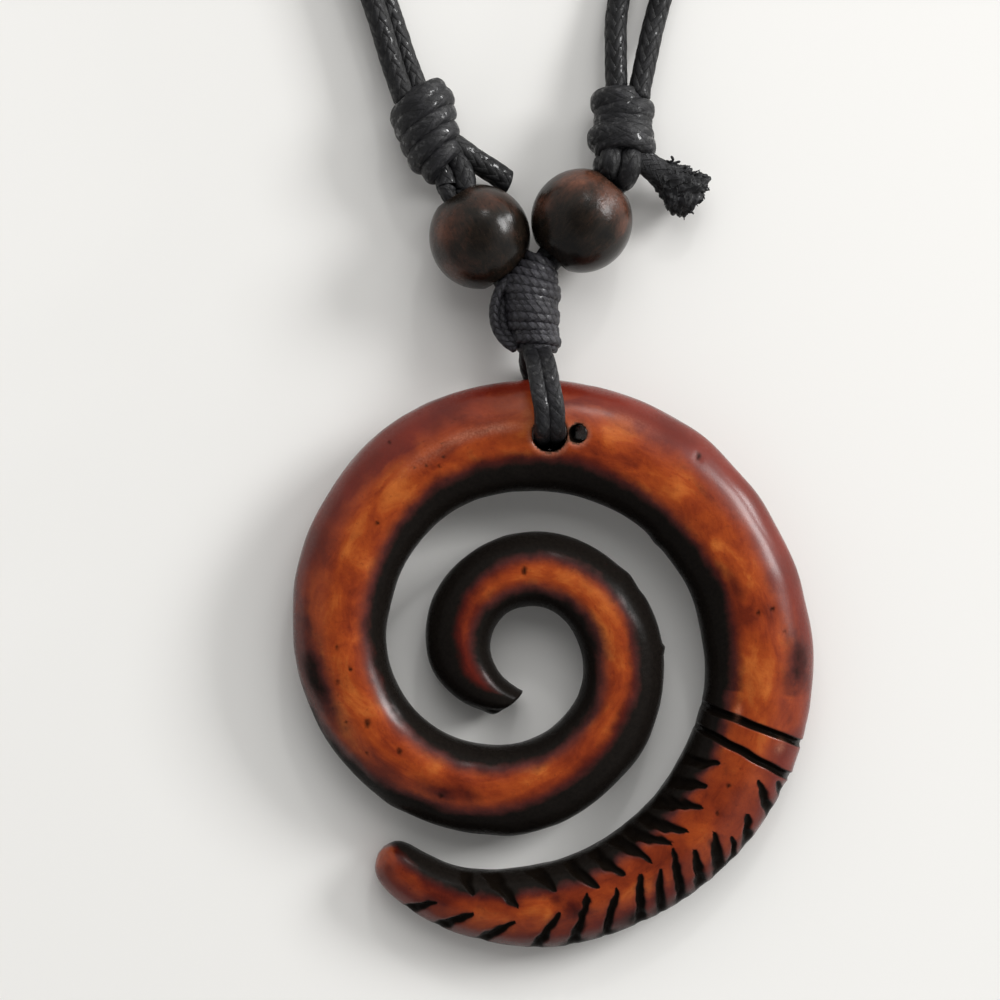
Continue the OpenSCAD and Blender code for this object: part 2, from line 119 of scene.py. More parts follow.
# Herringbone cuts: where each starts at the edge and where it runs out, in millimetres from the
# middle of the eye, and half its width
INNER_CUTS = [
    (12.4, -7.2, 14.4, -7.3, 0.38), (11.3, -9.0, 13.4, -9.1, 0.40), (10.4, -10.6, 13.0, -10.8, 0.43),
    (8.4, -11.8, 11.8, -12.7, 0.43), (7.2, -12.9, 10.5, -13.6, 0.45), (6.4, -13.7, 9.0, -15.1, 0.45),
    (4.8, -14.8, 6.9, -16.2, 0.45), (3.0, -15.8, 4.8, -17.2, 0.40), (-0.1, -16.2, 1.4, -17.5, 0.43),
    (-3.5, -16.6, -1.7, -18.8, 0.52), (-5.7, -16.5, -5.1, -17.9, 0.40),
]
OUTER_CUTS = [
    (19.9, -10.3, 19.2, -9.0, 0.34), (18.8, -11.6, 17.7, -8.9, 0.40), (16.8, -14.0, 16.8, -11.6, 0.36),
    (15.6, -15.2, 15.7, -13.4, 0.24), (14.7, -16.2, 14.2, -13.0, 0.52),
    (13.2, -17.2, 12.6, -14.4, 0.46), (11.6, -18.3, 10.9, -14.4, 0.34),
    (10.0, -19.5, 9.8, -16.0, 0.34), (8.3, -19.8, 8.2, -16.4, 0.34), (5.6, -21.2, 6.4, -17.6, 0.26),
    (2.8, -22.2, 4.0, -18.1, 0.38), (-0.1, -22.3, 1.7, -19.5, 0.38), (-4.9, -22.0, -2.0, -20.2, 0.40),
    (-8.4, -20.8, -5.3, -19.5, 0.38), (-10.6, -19.4, -8.2, -18.6, 0.32),
]
cut_depth = 0.36

# Small bumps and nicks on the edges: angle, side, how far out, and length along the edge
NICKS = [
    (227, 1, 0.38, 0.7), (205, 1, 0.05, 1.0), (46, 1, 0.10, 0.6), (9.3, 1, 0.20, 0.3),
    (38, 1, -0.08, 0.6), (-50, 1, -0.10, 2.0), (-98, 1, 0.10, 1.2), (-137, 1, 0.12, 1.0),
    (-205, -1, 0.06, 1.5), (-313, -1, 0.12, 0.6), (-382.8, 1, 0.09, 0.5), (-385.6, 1, -0.14, 0.7),
]

# Pores and chips that took the stain: angle, place across, radius
PITS = [
    (97, 0.02, 0.42), (-128, 0.28, 0.34), (-149.7, -0.12, 0.42), (-163, 0.0, 0.46),
    (-154, 0.4, 0.24), (-165, 0.38, 0.24), (-177, 0.18, 0.30), (-181, -0.16, 0.28),
    (-187, 0.05, 0.32), (-223, -0.13, 0.28), (-237, 0.75, 0.2), (-241.7, 0.0, 0.26),
    (-239, 0.10, 0.2), (-244.5, -0.12, 0.22), (-246.5, 0.0, 0.24), (-247.6, 0.22, 0.2),
    (-307, 0.68, 0.42), (-345, 0.34, 0.32), (-345, 0.08, 0.34), (-351, 0.5, 0.26),
    (-391, 0.0, 0.3), (-398, 0.1, 0.3),
]

# Burnt blotches, and paler ones below zero: angle, place across, half length and width, strength
BLOTCHES = [
    (-178, 0.66, 3.4, 1.1, 0.9), (-192, 0.75, 1.6, 0.8, 0.5), (-129, 0.22, 1.7, 0.8, 0.6),
    (-358, 0.70, 2.3, 1.0, 0.74), (-362, 0.58, 2.2, 0.9, 0.5), (-337, -0.2, 1.6, 0.6, 0.5),
    (-391, 0.20, 1.5, 0.9, 0.35), (-398, 0.15, 1.5, 0.9, 0.40), (-410, 0.45, 1.2, 0.6, 0.4),
    (-430, 0.80, 1.7, 0.95, 1.0), (-441, 0.10, 1.2, 1.2, 0.75), (-445, -0.20, 1.0, 0.8, 0.7),
    (-124, 0.10, 2.0, 0.9, 0.45), (-454, -0.15, 0.9, 0.8, 0.6), (-462, -0.15, 1.6, 0.9, 0.6),
    (-473, 0.0, 1.8, 1.2, 0.65), (-481, -0.05, 1.5, 0.9, 0.5),
    (-377.5, 0.25, 1.2, 1.3, -0.5), (-400, -0.30, 1.0, 0.6, -0.7), (-405, 0.05, 1.2, 0.6, -0.7),
    (-418, -0.15, 1.8, 0.7, -0.9), (-432, 0.05, 2.0, 0.8, -0.9), (-450, 0.10, 1.2, 0.9, -1.0),
    (-458, 0.35, 1.4, 0.6, -0.8), (-466, 0.30, 1.3, 0.7, -0.6), (-489.5, 0.2, 0.9, 1.4, -0.8),
]

# Where the lacquer is worn dull and painted pale in specks as a painted highlight, in the same way
SCUFFS_AND_SHEEN = [
    (-243, 0.16, 2.4, 0.55, 0.5), (-253, 0.20, 2.4, 0.45, 0.8), (-261, 0.20, 1.9, 0.38, 1.0),
    (-371.3, -0.34, 0.5, 0.25, 1.0), (-290, 0.60, 2.4, 0.5, 0.3), (-377.5, 0.6, 0.5, 0.35, 0.7),
]

# Finer specks between two angles, and how many
SPECK_RUNS = [(-205, -140, 34), (-262, -236, 40), (-120, 60, 16), (-360, -285, 18),
              (-490, -385, 16)]

hole_r = 1.4
hole_at = (0.990, 18.896)
side_hole_r = 0.74
side_hole_at = (3.16, 18.93)
side_hole_low_r = 0.55
side_hole_askew = (1.3, 0.3)
hole_soft = 0.35
break_at = (2.1, 18.85)
break_half = 0.9
break_depth = 0.4
tail_from = -366
holes_turn = (-340, -200)


def smooth_rows(table, places):
    """Rows of a table at fractional places, smooth between its rows."""
    table = np.asarray(table, float)
    last = len(table) - 1
    i = np.clip(np.floor(places).astype(int), 0, last - 1)
    t = (np.asarray(places) - i)[:, None]
    a, b = table[np.maximum(i - 1, 0)], table[i]
    c, d = table[i + 1], table[np.minimum(i + 2, last)]
    return 0.5 * (2 * b + (c - a) * t + (2 * a - 5 * b + 4 * c - d) * t * t
                  + (3 * b - a - 3 * c + d) * t ** 3)


def eased(x, low, high):
    t = np.clip((x - low) / (high - low), 0, 1)
    return t * t * (3 - 2 * t)


def wobble(points, size, seed):
    """A smooth random value from about -1 to 1 for each point, with bumps of the given size."""
    draw = np.random.default_rng(seed)
    total = 0
    for _ in range(7):
        way = draw.normal(size=points.shape[-1])
        way *= draw.uniform(0.6, 1.5) / np.linalg.norm(way)
        total = total + np.sin(points @ way * (math.pi / size) + draw.uniform(0, 6.3))
    return total / 3.2


def mesh_piece(name, points, faces, material, smooth=True):
    """A mesh object from points in metres and a list of arrays of faces."""
    mesh = bpy.data.meshes.new(name)
    corners = np.concatenate([f.ravel() for f in faces])
    counts = np.concatenate([np.full(len(f), f.shape[1]) for f in faces])
    starts = np.concatenate([[0], np.cumsum(counts)[:-1]])
    mesh.vertices.add(len(points))
    mesh.vertices.foreach_set("co", np.asarray(points, np.float32).ravel())
    mesh.loops.add(len(corners))
    mesh.loops.foreach_set("vertex_index", corners.astype(np.int32))
    mesh.polygons.add(len(counts))
    mesh.polygons.foreach_set("loop_start", starts.astype(np.int32))
    mesh.polygons.foreach_set("use_smooth", np.full(len(counts), smooth))
    mesh.update(calc_edges=True)
    mesh.validate()
    mesh.materials.append(material)
    piece = bpy.data.objects.new(name, mesh)
    scene.collection.objects.link(piece)
    return piece


def skin_faces(rings, sides, first=0, closed=False):
    """Quads of a tube of rings whose points are numbered from first."""
    i, k = np.meshgrid(np.arange(rings - (0 if closed else 1)), np.arange(sides), indexing="ij")
    j, n = (i + 1) % rings, (k + 1) % sides
    quads = np.stack([i * sides + k, i * sides + n, j * sides + n, j * sides + k], -1)
    return quads.reshape(-1, 4) + first


def fan_faces(ring_first, sides, middle, turned):
    k = np.arange(sides)
    ring = ring_first + np.stack([k, (k + 1) % sides], -1)
    if turned:
        ring = ring[:, ::-1]
    return np.concatenate([ring, np.full((sides, 1), middle)], 1)


def keep_values(piece, name, values):
    layer = piece.data.attributes.new(name, "FLOAT", "POINT")
    layer.data.foreach_set("value", np.asarray(values, np.float32).ravel())


def keep_places(piece, name, places):
    layer = piece.data.attributes.new(name, "FLOAT_VECTOR", "POINT")
    layer.data.foreach_set("vector", np.asarray(places, np.float32).ravel())


# Rings along the arm, closer together at the holes and on the tail
tail_step, hole_step, eye_step, plain_step = 0.075, 0.1, 0.22, 0.3
table_places = np.linspace(0, len(ARM) - 1, 12000)
arm_rows = smooth_rows(ARM, table_places)
arm_angle = arm_rows[:, 0]
step_length = np.hypot(np.diff(np.radians(arm_angle)) * arm_rows[1:, 2] * spiral_w,
                       np.diff(arm_rows[:, 2]) * spiral_w)
wanted = np.select(
    [arm_angle < tail_from, (arm_angle < -265) & (arm_angle > -284), arm_angle > -90],
    [tail_step, hole_step, eye_step], plain_step)
crowding = np.concatenate([[0], np.cumsum(step_length / wanted[1:])])
ring_count = int(crowding[-1])
arm_rows = smooth_rows(ARM, np.interp(np.linspace(0, crowding[-1], ring_count), crowding,
                                      table_places))
arm_angle = arm_rows[:, 0]
middle_r = arm_rows[:, 2] * spiral_w
half_w = arm_rows[:, 3] * arm_w / 2
thickness = arm_rows[:, 4] * arm_t
along = np.concatenate([[0], np.cumsum(np.hypot(
    np.diff(np.radians(arm_angle)) * middle_r[1:], np.diff(middle_r)))])

# The cross-section: crowned above, nearly flat below, with more points on top
section_points = 4000
back_share = 0.42
turn = np.linspace(0, 2 * math.pi, section_points + 1)[:-1]
upper = np.sin(turn) >= 0
roundness = np.where(upper, top_round, back_round)
across_fine = np.sign(np.cos(turn)) * np.abs(np.cos(turn)) ** (2 / roundness)
rise = np.sign(np.sin(turn)) * np.abs(np.sin(turn)) ** (2 / roundness)
height_fine = waist + np.where(upper, (1 - waist) * rise,
                               waist * np.maximum(-1, rise * flat_back))
walk = np.hypot(np.diff(across_fine, append=across_fine[0]) * arm_w / 2,
                np.diff(height_fine, append=height_fine[0]) * arm_t)
walk_crowding = np.concatenate([[0], np.cumsum(walk * np.where(upper, 1.0, back_share))])
arm_sides = 88
picks = np.interp(np.arange(arm_sides) / arm_sides * walk_crowding[-1], walk_crowding,
                  np.arange(len(turn) + 1)).astype(int) % len(turn)
u = across_fine[picks][None, :]
v = height_fine[picks][None, :]
above = v > waist
u = u - crown_lean * (1 - u * u) * above
half_wide = half_w[:, None]


def edge_place(angle, across):
    """The plan place on the arm at an angle and a place across it."""
    r = (np.interp(-angle, -arm_angle, middle_r)
         + across * np.interp(-angle, -arm_angle, half_w))
    return np.array([r * math.cos(math.radians(angle)), r * math.sin(math.radians(angle))])


ring_r = middle_r[:, None] + u * half_wide
ring_angle = arm_angle[:, None] + arm_rows[:, 1][:, None] * u
plan = np.stack([ring_r * np.cos(np.radians(ring_angle)),
                 ring_r * np.sin(np.radians(ring_angle))], -1)
height = v * thickness[:, None]
section = np.stack([u * half_wide, height], -1)
flow = np.roll(section, -1, 1) - np.roll(section, 1, 1)
flow /= np.linalg.norm(flow, axis=-1, keepdims=True) + 1e-9
out_across, out_up = flow[..., 1], -flow[..., 0]
on_front = eased(v, 0.10, 0.55)
on_tail = ring_angle < tail_from
at_holes = (ring_angle > holes_turn[0]) & (ring_angle < holes_turn[1])

# How deep the knife went, in millimetres, and how black the cuts are; the same black is painted into
# the holes as painted shade
carved = np.zeros_like(ring_r)
ink_and_hole_shade = np.zeros_like(ring_r)
for middle in GROOVES:
    off = np.radians(ring_angle - middle - groove_slant * u) * ring_r
    off = off + 0.05 * wobble(plan, 1.6, 5)
    depth = eased(1 - np.abs(off) / (groove_half * 1.25), 0, 0.9)
    carved = np.maximum(carved, groove_depth * depth * on_front)
    ink_and_hole_shade = np.maximum(ink_and_hole_shade, 1 - eased(np.abs(off), 0.16, 0.54))
scorched = np.zeros_like(ring_r)
cut_draw = np.random.default_rng(11)
for cuts, side in ((INNER_CUTS, -1), (OUTER_CUTS, 1)):
    for start_x, start_y, end_x, end_y, widest in cuts:
        start = np.array([start_x, start_y])
        reach = np.array([end_x, end_y]) - start
        length = np.linalg.norm(reach)
        reach /= length
        offset = plan - start
        t = offset @ reach / length
        bend = cut_draw.uniform(-0.12, 0.12)
        off = offset[..., 0] * -reach[1] + offset[..., 1] * reach[0] - bend * np.sin(t * 3.1)
        off = off + 0.09 * wobble(plan, 0.6, int(start_x * 10) % 83)
        half = widest * np.clip(1.04 - t, 0, 1) ** 0.5 + 0.03
        live = (t > -0.7) & (t < 1.08) & on_tail & (side * u > -0.6)
        profile = eased(1 - np.abs(off) / (half * 1.5), 0, 0.9) * np.clip(1.1 - t, 0, 1) ** 0.5
        profile = profile * (1 - 0.8 * eased(np.abs(u), 0.80, 0.99))
        carved = np.maximum(carved, np.where(live, cut_depth * profile * on_front, 0))
        ink = 1 - eased(np.abs(off), half * 0.35, half * 1.4 + 0.2)
        ink_and_hole_shade = np.maximum(ink_and_hole_shade, np.where(live, ink, 0))
        halo = 1 - eased(np.abs(off), half, half * 2.2 + 0.35)
        scorched = np.maximum(scorched, np.where(live, halo, 0))

pit_ink, speck_ink, speck_r = 0.62, 0.45, 0.18
pit_rows = list(PITS)
speck_draw = np.random.default_rng(4)
for low, high, count in SPECK_RUNS:
    for _ in range(count):
        pit_rows.append((speck_draw.uniform(low, high), speck_draw.uniform(-0.45, 0.6),
                         speck_draw.uniform(0.07, 0.15)))
for angle, across, radius in pit_rows:
    place = edge_place(angle, across)
    near = np.linalg.norm(plan - place, axis=-1) / radius
    near = near + 0.25 * wobble(plan, radius * 1.2, int(-angle * 10) % 97)
    same_turn = (np.abs(ring_angle - angle) < 40) & above
    carved = np.maximum(carved, np.where(same_turn, radius * 0.16 * np.clip(1 - near, 0, 1), 0))
    ink_and_hole_shade = np.maximum(ink_and_hole_shade, np.where(
        same_turn, (1 - eased(near, 0.1, 1.4)) * (pit_ink if radius > speck_r else speck_ink), 0))

# A softened rim round each hole. Its wall and edge are painted black, which is painted shade, and a
# band round it is painted paler, which is worn lacquer and painted highlight
hole_rim_wear_and_sheen = np.zeros_like(ring_r)
for (x, y), radius in ((hole_at, hole_r), (side_hole_at, side_hole_r)):
    near = np.hypot(plan[..., 0] - x, plan[..., 1] - y) - radius
    rim = np.where(at_holes, np.clip(1 - near / hole_soft, 0, 1) ** 2, 0)
    carved = np.maximum(carved, 0.2 * rim * (near > -radius))
    ink_and_hole_shade = np.maximum(ink_and_hole_shade, np.where(at_holes, 1 - eased(near, -0.02, 0.10), 0))
    hole_rim_wear_and_sheen = np.maximum(hole_rim_wear_and_sheen, np.where(at_holes & above,
                                                 0.6 * (1 - eased(near, 0.12, 0.6)), 0))

# The second hole breaks into the first, and the break is painted black as painted shade. Away from the
# holes the break is out of reach
bridge = np.hypot(np.clip(np.abs(plan[..., 0] - break_at[0]) - break_half, 0, None),
                  plan[..., 1] - break_at[1])
bridge = np.where(at_holes & above, bridge, 9)
carved = np.maximum(carved, break_depth * (1 - eased(bridge, 0.1, 0.65)))
ink_and_hole_shade = np.maximum(ink_and_hole_shade, 1 - eased(bridge, 0.35, 0.75))

# Bumps and nicks, and the slight unevenness of handwork
solid_places = np.concatenate([plan, height[..., None]], -1)
proud = 0.045 * wobble(solid_places, 3.4, 3) + 0.018 * wobble(solid_places, 1.1, 8)
for angle, side, out, size in NICKS:
    off = np.radians(ring_angle - angle) * ring_r / size
    proud = proud + out * np.exp(-off * off) * eased(side * u, 0.72, 1.0)
fade = np.clip(half_wide / 1.2, 0, 1)
shift = proud * fade - carved
low_face = v < 0.02
shift = np.where(low_face, np.minimum(shift, 0) * 0.3, shift)
ring_r = ring_r + out_across * shift
height = np.maximum(height + out_up * shift, 0)
plan = np.stack([ring_r * np.cos(np.radians(ring_angle)),
                 ring_r * np.sin(np.radians(ring_angle))], -1)

# The stain and the soot over the arm


def spot_distance(angle, across, long_half, wide_half):
    """Squared distance over the arm from a spot's middle, as a share of the spot's half sizes."""
    a = np.radians(ring_angle - angle) * ring_r / long_half
    b = (u - across) * half_wide / wide_half
    return a * a + b * b


stain_rows = np.array([np.interp(-arm_angle, -np.array([r[0] for r in STAIN]),
                                 [r[c] for r in STAIN]) for c in range(1, 5)])[:, :, None]
inner_end, outer_end, red_from, orange = stain_rows
soot = 0.5 + np.maximum((u - outer_end), (inner_end - u)) * half_wide / 2.1
paler = np.zeros_like(soot)
for *where, strength in BLOTCHES:
    spot = strength * np.exp(-spot_distance(*where) * 0.8)
    soot = np.maximum(soot, 0.78 * spot) if strength > 0 else soot + 0.45 * spot
    paler = np.maximum(paler, -spot)
# Painted highlight: less soot on the ridges between the cuts on the tail's inner side, so their crests
# look lit
ridge_highlight = on_tail * (1 - scorched) * eased(u, -0.92, -0.6)
soot = np.clip(np.maximum(soot - 0.16 * ridge_highlight, 0.27 * scorched), 0, 1)
# Painted highlight: pale specks round the holes and at the spots below, where the lacquer is also worn
# dull
scuffs_and_sheen = hole_rim_wear_and_sheen
for *where, strength in SCUFFS_AND_SHEEN:
    scuffs_and_sheen = np.maximum(scuffs_and_sheen, strength * np.exp(-spot_distance(*where)) * above)
stain = np.clip(0.5 + (u - red_from) * half_wide / 2.6, 0, 1)
stain = np.maximum(stain, 1 - orange)
stain = np.maximum(stain, eased(u, 0.86, 1.0)) - 0.6 * paler


def laid(points):
    """Pendant points, measured flat from the middle of its eye, laid down in the necklace."""
    points = np.asarray(points, float)
    y, z = points[..., 1] - foot_y, points[..., 2]
    return np.stack([points[..., 0],
                     foot_y + y * math.cos(tip) - z * math.sin(tip) + eye_y,
                     y * math.sin(tip) + z * math.cos(tip)], -1) * MM


arm_points = np.concatenate([plan, height[..., None]], -1)

# The chopped face at the inner tip, with a slightly worn rim
tip_middle = arm_points[0].mean(0)
tip_ways = np.radians(arm_angle[0])
tip_out = np.array([-math.sin(tip_ways), math.cos(tip_ways), 0])
tip_rings = np.stack([tip_middle + (arm_points[0] - tip_middle) * share + tip_out * out
                      for share, out in ((0.55, 0.12), (0.8, 0.11), (0.93, 0.06))])
tail_middle = arm_points[-1].mean(0)
all_rings = np.concatenate([tip_rings, arm_points])
extra = len(tip_rings)


def with_tip(values):
    return np.concatenate([np.repeat(values[:1], extra, 0), values]).ravel()


points = np.concatenate([all_rings.reshape(-1, 3), [tip_middle + tip_out * 0.13, tail_middle]])
ring_total = len(all_rings)
faces = [skin_faces(ring_total, arm_sides),
         fan_faces(0, arm_sides, ring_total * arm_sides, True),
         fan_faces((ring_total - 1) * arm_sides, arm_sides, ring_total * arm_sides + 1, False)]


BLACK, WHITE = (0, 0, 0, 1), (1, 1, 1, 1)


def colour(r, g, b):
    """A node colour from an 8-bit screen colour."""
    return tuple((c / 255 / 12.92 if c <= 10 else ((c / 255 + 0.055) / 1.055) ** 2.4)
                 for c in (r, g, b)) + (1,)


class Paint:
    """The nodes of a material or a node group; each call adds a node and gives what it puts out."""

    def __init__(self, tree):
        self.nodes, self.links = tree.nodes, tree.links

    def feed(self, sockets, values):
        """Set sockets, by name or number, to plain values or link them to other nodes."""
        for name, value in values.items():
            if isinstance(value, (int, float, tuple)):
                sockets[name].default_value = value
            else:
                self.links.new(value, sockets[name])

    def place(self):
        return self.nodes.new("ShaderNodeTexCoord").outputs["Object"]

    def attribute(self, name, given="Fac"):
        node = self.nodes.new("ShaderNodeAttribute")
        node.attribute_name = name
        return node.outputs[given]

    def math(self, operation, *values, clamp=False):
        node = self.nodes.new("ShaderNodeMath")
        node.operation, node.use_clamp = operation, clamp
        self.feed(node.inputs, dict(enumerate(values)))
        return node.outputs[0]

    def mix(self, share, a, b, blend="MIX"):
        node = self.nodes.new("ShaderNodeMix")
        node.data_type, node.blend_type = "RGBA", blend
        self.feed(node.inputs, {"Factor": share, "A": a, "B": b})
        return node.outputs["Result"]

    def ramp(self, value, stops, interpolation="LINEAR"):
        node = self.nodes.new("ShaderNodeValToRGB")
        node.color_ramp.interpolation = interpolation
        elements = node.color_ramp.elements
        while len(elements) < len(stops):
            elements.new(0.5)
        for element, (place, shade) in zip(elements, stops):
            element.position, element.color = place, shade
        self.links.new(value, node.inputs[0])
        return node.outputs[0]

    def mask(self, value, low, high, interpolation="LINEAR"):
        return self.ramp(value, [(low, BLACK), (high, WHITE)], interpolation)

    def noise(self, vector, scale, detail=3.0, roughness=0.55, distortion=0.0):
        node = self.nodes.new("ShaderNodeTexNoise")
        self.feed(node.inputs, {"Vector": vector, "Scale": scale, "Detail": detail,
                                "Roughness": roughness, "Distortion": distortion})
        return node.outputs["Fac"]

    def vector(self, *parts):
        node = self.nodes.new("ShaderNodeCombineXYZ")
        self.feed(node.inputs, dict(enumerate(parts)))
        return node.outputs[0]

    def parts(self, vector):
        node = self.nodes.new("ShaderNodeSeparateXYZ")
        self.links.new(vector, node.inputs[0])
        return node.outputs

    def group(self, shared, values):
        node = self.nodes.new("ShaderNodeGroup")
        node.node_tree = shared
        self.feed(node.inputs, values)
        return node.outputs

    def bump(self, height, strength, distance):
        node = self.nodes.new("ShaderNodeBump")
        self.feed(node.inputs, {"Height": height, "Strength": strength, "Distance": distance})
        return node.outputs[0]

    def finish(self, values):
        self.feed(self.nodes["Principled BSDF"].inputs, values)


def new_material(name):
    material = bpy.data.materials.new(name)
    material.use_nodes = True
    return material, Paint(material.node_tree)


def new_group(name, inputs, outputs):
    group = bpy.data.node_groups.new(name, "ShaderNodeTree")
    for socket, value in inputs.items():
        made = group.interface.new_socket(socket, in_out="INPUT", socket_type="NodeSocketFloat")
        made.default_value = value
    for socket in outputs:
        group.interface.new_socket(socket, in_out="OUTPUT", socket_type="NodeSocketFloat")
    paint = Paint(group)
    given = paint.nodes.new("NodeGroupInput").outputs
    return group, paint, given, paint.nodes.new("NodeGroupOutput").inputs


# Handling marks: a soft cloud of dull patches with fine scuffs in it
scuffs, paint, given, result = new_group(
    "handling scuffs", {"Cloud scale": 300.0, "Scuff scale": 2500.0, "Amount": 1.0},
    ("Dullness", "Height"))
place = paint.place()
cloud = paint.noise(place, given["Cloud scale"])
fine = paint.noise(place, given["Scuff scale"], 4.0, 0.65)
both = paint.math("MULTIPLY", cloud, fine)
paint.feed(result, {"Dullness": paint.math("MULTIPLY", both, given["Amount"]), "Height": fine})

bone, paint = new_material("burnt_stained_bone")
place = paint.place()
lengthwise = paint.vector(paint.attribute("arm_along"), paint.attribute("arm_across"))
patches = paint.noise(place, 230, 3.0, 0.5, 0.3)
mottle = paint.noise(place, 700, 4.0, 0.6)
streaks = paint.noise(lengthwise, 0.26, 5.0, 0.62, 0.5)
grain = paint.noise(place, 3200, 3.0, 0.6)
ragged = paint.math("SUBTRACT", mottle, 0.5)
broad = paint.math("SUBTRACT", streaks, 0.5)

# Orange bone with darker specks
warmth = paint.math("ADD", paint.math("MULTIPLY", patches, 0.45),
                    paint.math("MULTIPLY", streaks, 0.55))
warm = paint.ramp(warmth, [(0.36, colour(94, 30, 11)), (0.45, colour(124, 46, 17)),
                           (0.54, colour(147, 62, 22)), (0.64, colour(176, 92, 38))])
specks = paint.mask(grain, 0.60, 0.72)
base = paint.mix(paint.math("MULTIPLY", specks, 0.35), warm, colour(92, 32, 14))

# The red-brown stain
stain_edge = paint.math("MULTIPLY_ADD", broad, 1.5, paint.attribute("stain"))
stain_edge = paint.math("MULTIPLY_ADD", ragged, 0.5, stain_edge)
red = paint.mix(patches, colour(62, 14, 9), colour(116, 35, 18))
base = paint.mix(paint.mask(stain_edge, 0.15, 0.90, "EASE"), base, red)

# Soot, brown at its edge and black inside
soot_edge = paint.math("MULTIPLY_ADD", ragged, 0.42, paint.attribute("soot"))
soot_edge = paint.math("MULTIPLY_ADD", broad, 0.45, soot_edge)
base = paint.mix(paint.mask(soot_edge, 0.0, 0.52, "EASE"), base, colour(66, 15, 8))
charred = paint.mask(soot_edge, 0.36, 0.76, "EASE")
black = paint.mix(grain, colour(13, 11, 10), colour(29, 25, 22))
base = paint.mix(charred, base, black)

# Black ink in the cuts and pits, and black painted shade in the holes
ink_and_hole_shade_edge = paint.math("MULTIPLY_ADD", ragged, 0.35, paint.attribute("ink_and_hole_shade"))
inked_and_hole_shade = paint.mask(ink_and_hole_shade_edge, 0.15, 0.75, "EASE")
base = paint.mix(inked_and_hole_shade, base, colour(15, 11, 8))

# Pale specks where the lacquer is worn, painted paler than the bone as a painted highlight
worn_and_sheen_specks = paint.ramp(paint.noise(place, 6000, 3.0, 0.6),
                         [(0.40, (0.45, 0.45, 0.45, 1)), (0.70, WHITE)])
worn_and_sheen_share = paint.math("MULTIPLY", worn_and_sheen_specks, paint.attribute("scuffs_and_sheen"))
base = paint.mix(paint.math("MULTIPLY", worn_and_sheen_share, 0.5), base, colour(206, 140, 112))

# Lacquer, which soot and ink dull
marks = paint.group(scuffs, {"Cloud scale": 350.0, "Scuff scale": 2600.0})
gloss = paint.math("MULTIPLY_ADD", marks["Dullness"], 0.45, 0.17)
gloss = paint.math("MULTIPLY_ADD", worn_and_sheen_share, 0.25, gloss)
bare = paint.math("MULTIPLY", paint.math("MULTIPLY_ADD", charred, -0.93, 1.0),
                  paint.math("SUBTRACT", 1.0, inked_and_hole_shade))
uneven = paint.math("MULTIPLY_ADD", mottle, 1.2, marks["Height"])
paint.finish({"Base Color": base, "Roughness": gloss, "Specular IOR Level": 0.02,
              "Coat Weight": paint.math("MULTIPLY", bare, 0.62), "Coat Roughness": 0.26,
              "Normal": paint.bump(uneven, 0.5, 0.00007)})

pendant = mesh_piece("carved_spiral", laid(points), faces, bone)
for name, values in (("soot", soot), ("stain", stain), ("ink_and_hole_shade", ink_and_hole_shade), ("scuffs_and_sheen", scuffs_and_sheen),
                     ("arm_along", np.broadcast_to(along[:, None], soot.shape)),
                     ("arm_across", np.broadcast_to(u * half_wide * 2.2, soot.shape))):
    keep_values(pendant, name, np.concatenate([with_tip(values), [values[0, 0], values[-1, 0]]]))
# The small hole beside the cord was drilled askew
drill_ends = (-1.0, 8.0)
drilled_margin = 0.04
for hole_place, radius, low_radius, askew in (
        (hole_at, hole_r, hole_r, (0, 0)),
        (side_hole_at, side_hole_r, side_hole_low_r, side_hole_askew)):
    rim = 48
    ways = np.arange(rim) / rim * 2 * math.pi
    rings, ends = [], []
    for z in drill_ends:
        depth = (arm_t - z) / arm_t
        size = radius + (low_radius - radius) * depth
        middle = (hole_place[0] + askew[0] * depth, hole_place[1] + askew[1] * depth)
        rings.append(np.stack([middle[0] + size * np.cos(ways), middle[1] + size * np.sin(ways),
                               np.full(rim, z)], 1))
        ends.append([*middle, z])
    rings = np.concatenate(rings)
    drill = mesh_piece("drill", laid(np.concatenate([rings, ends])),
                       [skin_faces(2, rim), fan_faces(0, rim, 2 * rim, True),
                        fan_faces(rim, rim, 2 * rim + 1, False)], bone)
    # The drill's faces carry full soot and ink, so the hole walls are painted black: painted shade
    for name, value in (("soot", 1), ("stain", 1), ("ink_and_hole_shade", 1), ("scuffs_and_sheen", 0),
                        ("arm_along", 0), ("arm_across", 0)):
        keep_values(drill, name, np.full(len(drill.data.vertices), value))
    bore = pendant.modifiers.new("bore", "BOOLEAN")
    bore.operation, bore.solver, bore.object = "DIFFERENCE", "EXACT", drill
    graph = bpy.context.evaluated_depsgraph_get()
    drilled = bpy.data.meshes.new_from_object(pendant.evaluated_get(graph))
    pendant.modifiers.clear()
    pendant.data = drilled
    bpy.data.objects.remove(drill)
    spots = np.empty(len(drilled.vertices) * 3, np.float32)
    drilled.vertices.foreach_get("co", spots)
    low_end, high_end = laid(ends)
    axis = (high_end - low_end) / np.linalg.norm(high_end - low_end)
    off = spots.reshape(-1, 3) - low_end
    off = np.linalg.norm(off - (off @ axis)[:, None] * axis, axis=1)
    # The walls left by the drill are painted black as well: painted shade
    for name in ("ink_and_hole_shade", "soot"):
        values = np.empty(len(drilled.vertices), np.float32)
        drilled.attributes[name].data.foreach_get("value", values)
        values[off < (radius + drilled_margin) * MM] = 1
        drilled.attributes[name].data.foreach_set("value", values)
pendant.data.name = "carved_spiral"
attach(pendant, "root")
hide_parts("spiral_pendant")

# The pendant loop
# Two thin waxed cotton cords that lie side by side as a flat band, pass down through the hole, and
# come back under the rim. Both ends run up into the lashing.

cord_step = 0.09
loop_cord_d = 1.30
loop_gap = 0.55
rim_y = 23.208
rim_z = (rim_y - foot_y) * math.tan(tip) + arm_t


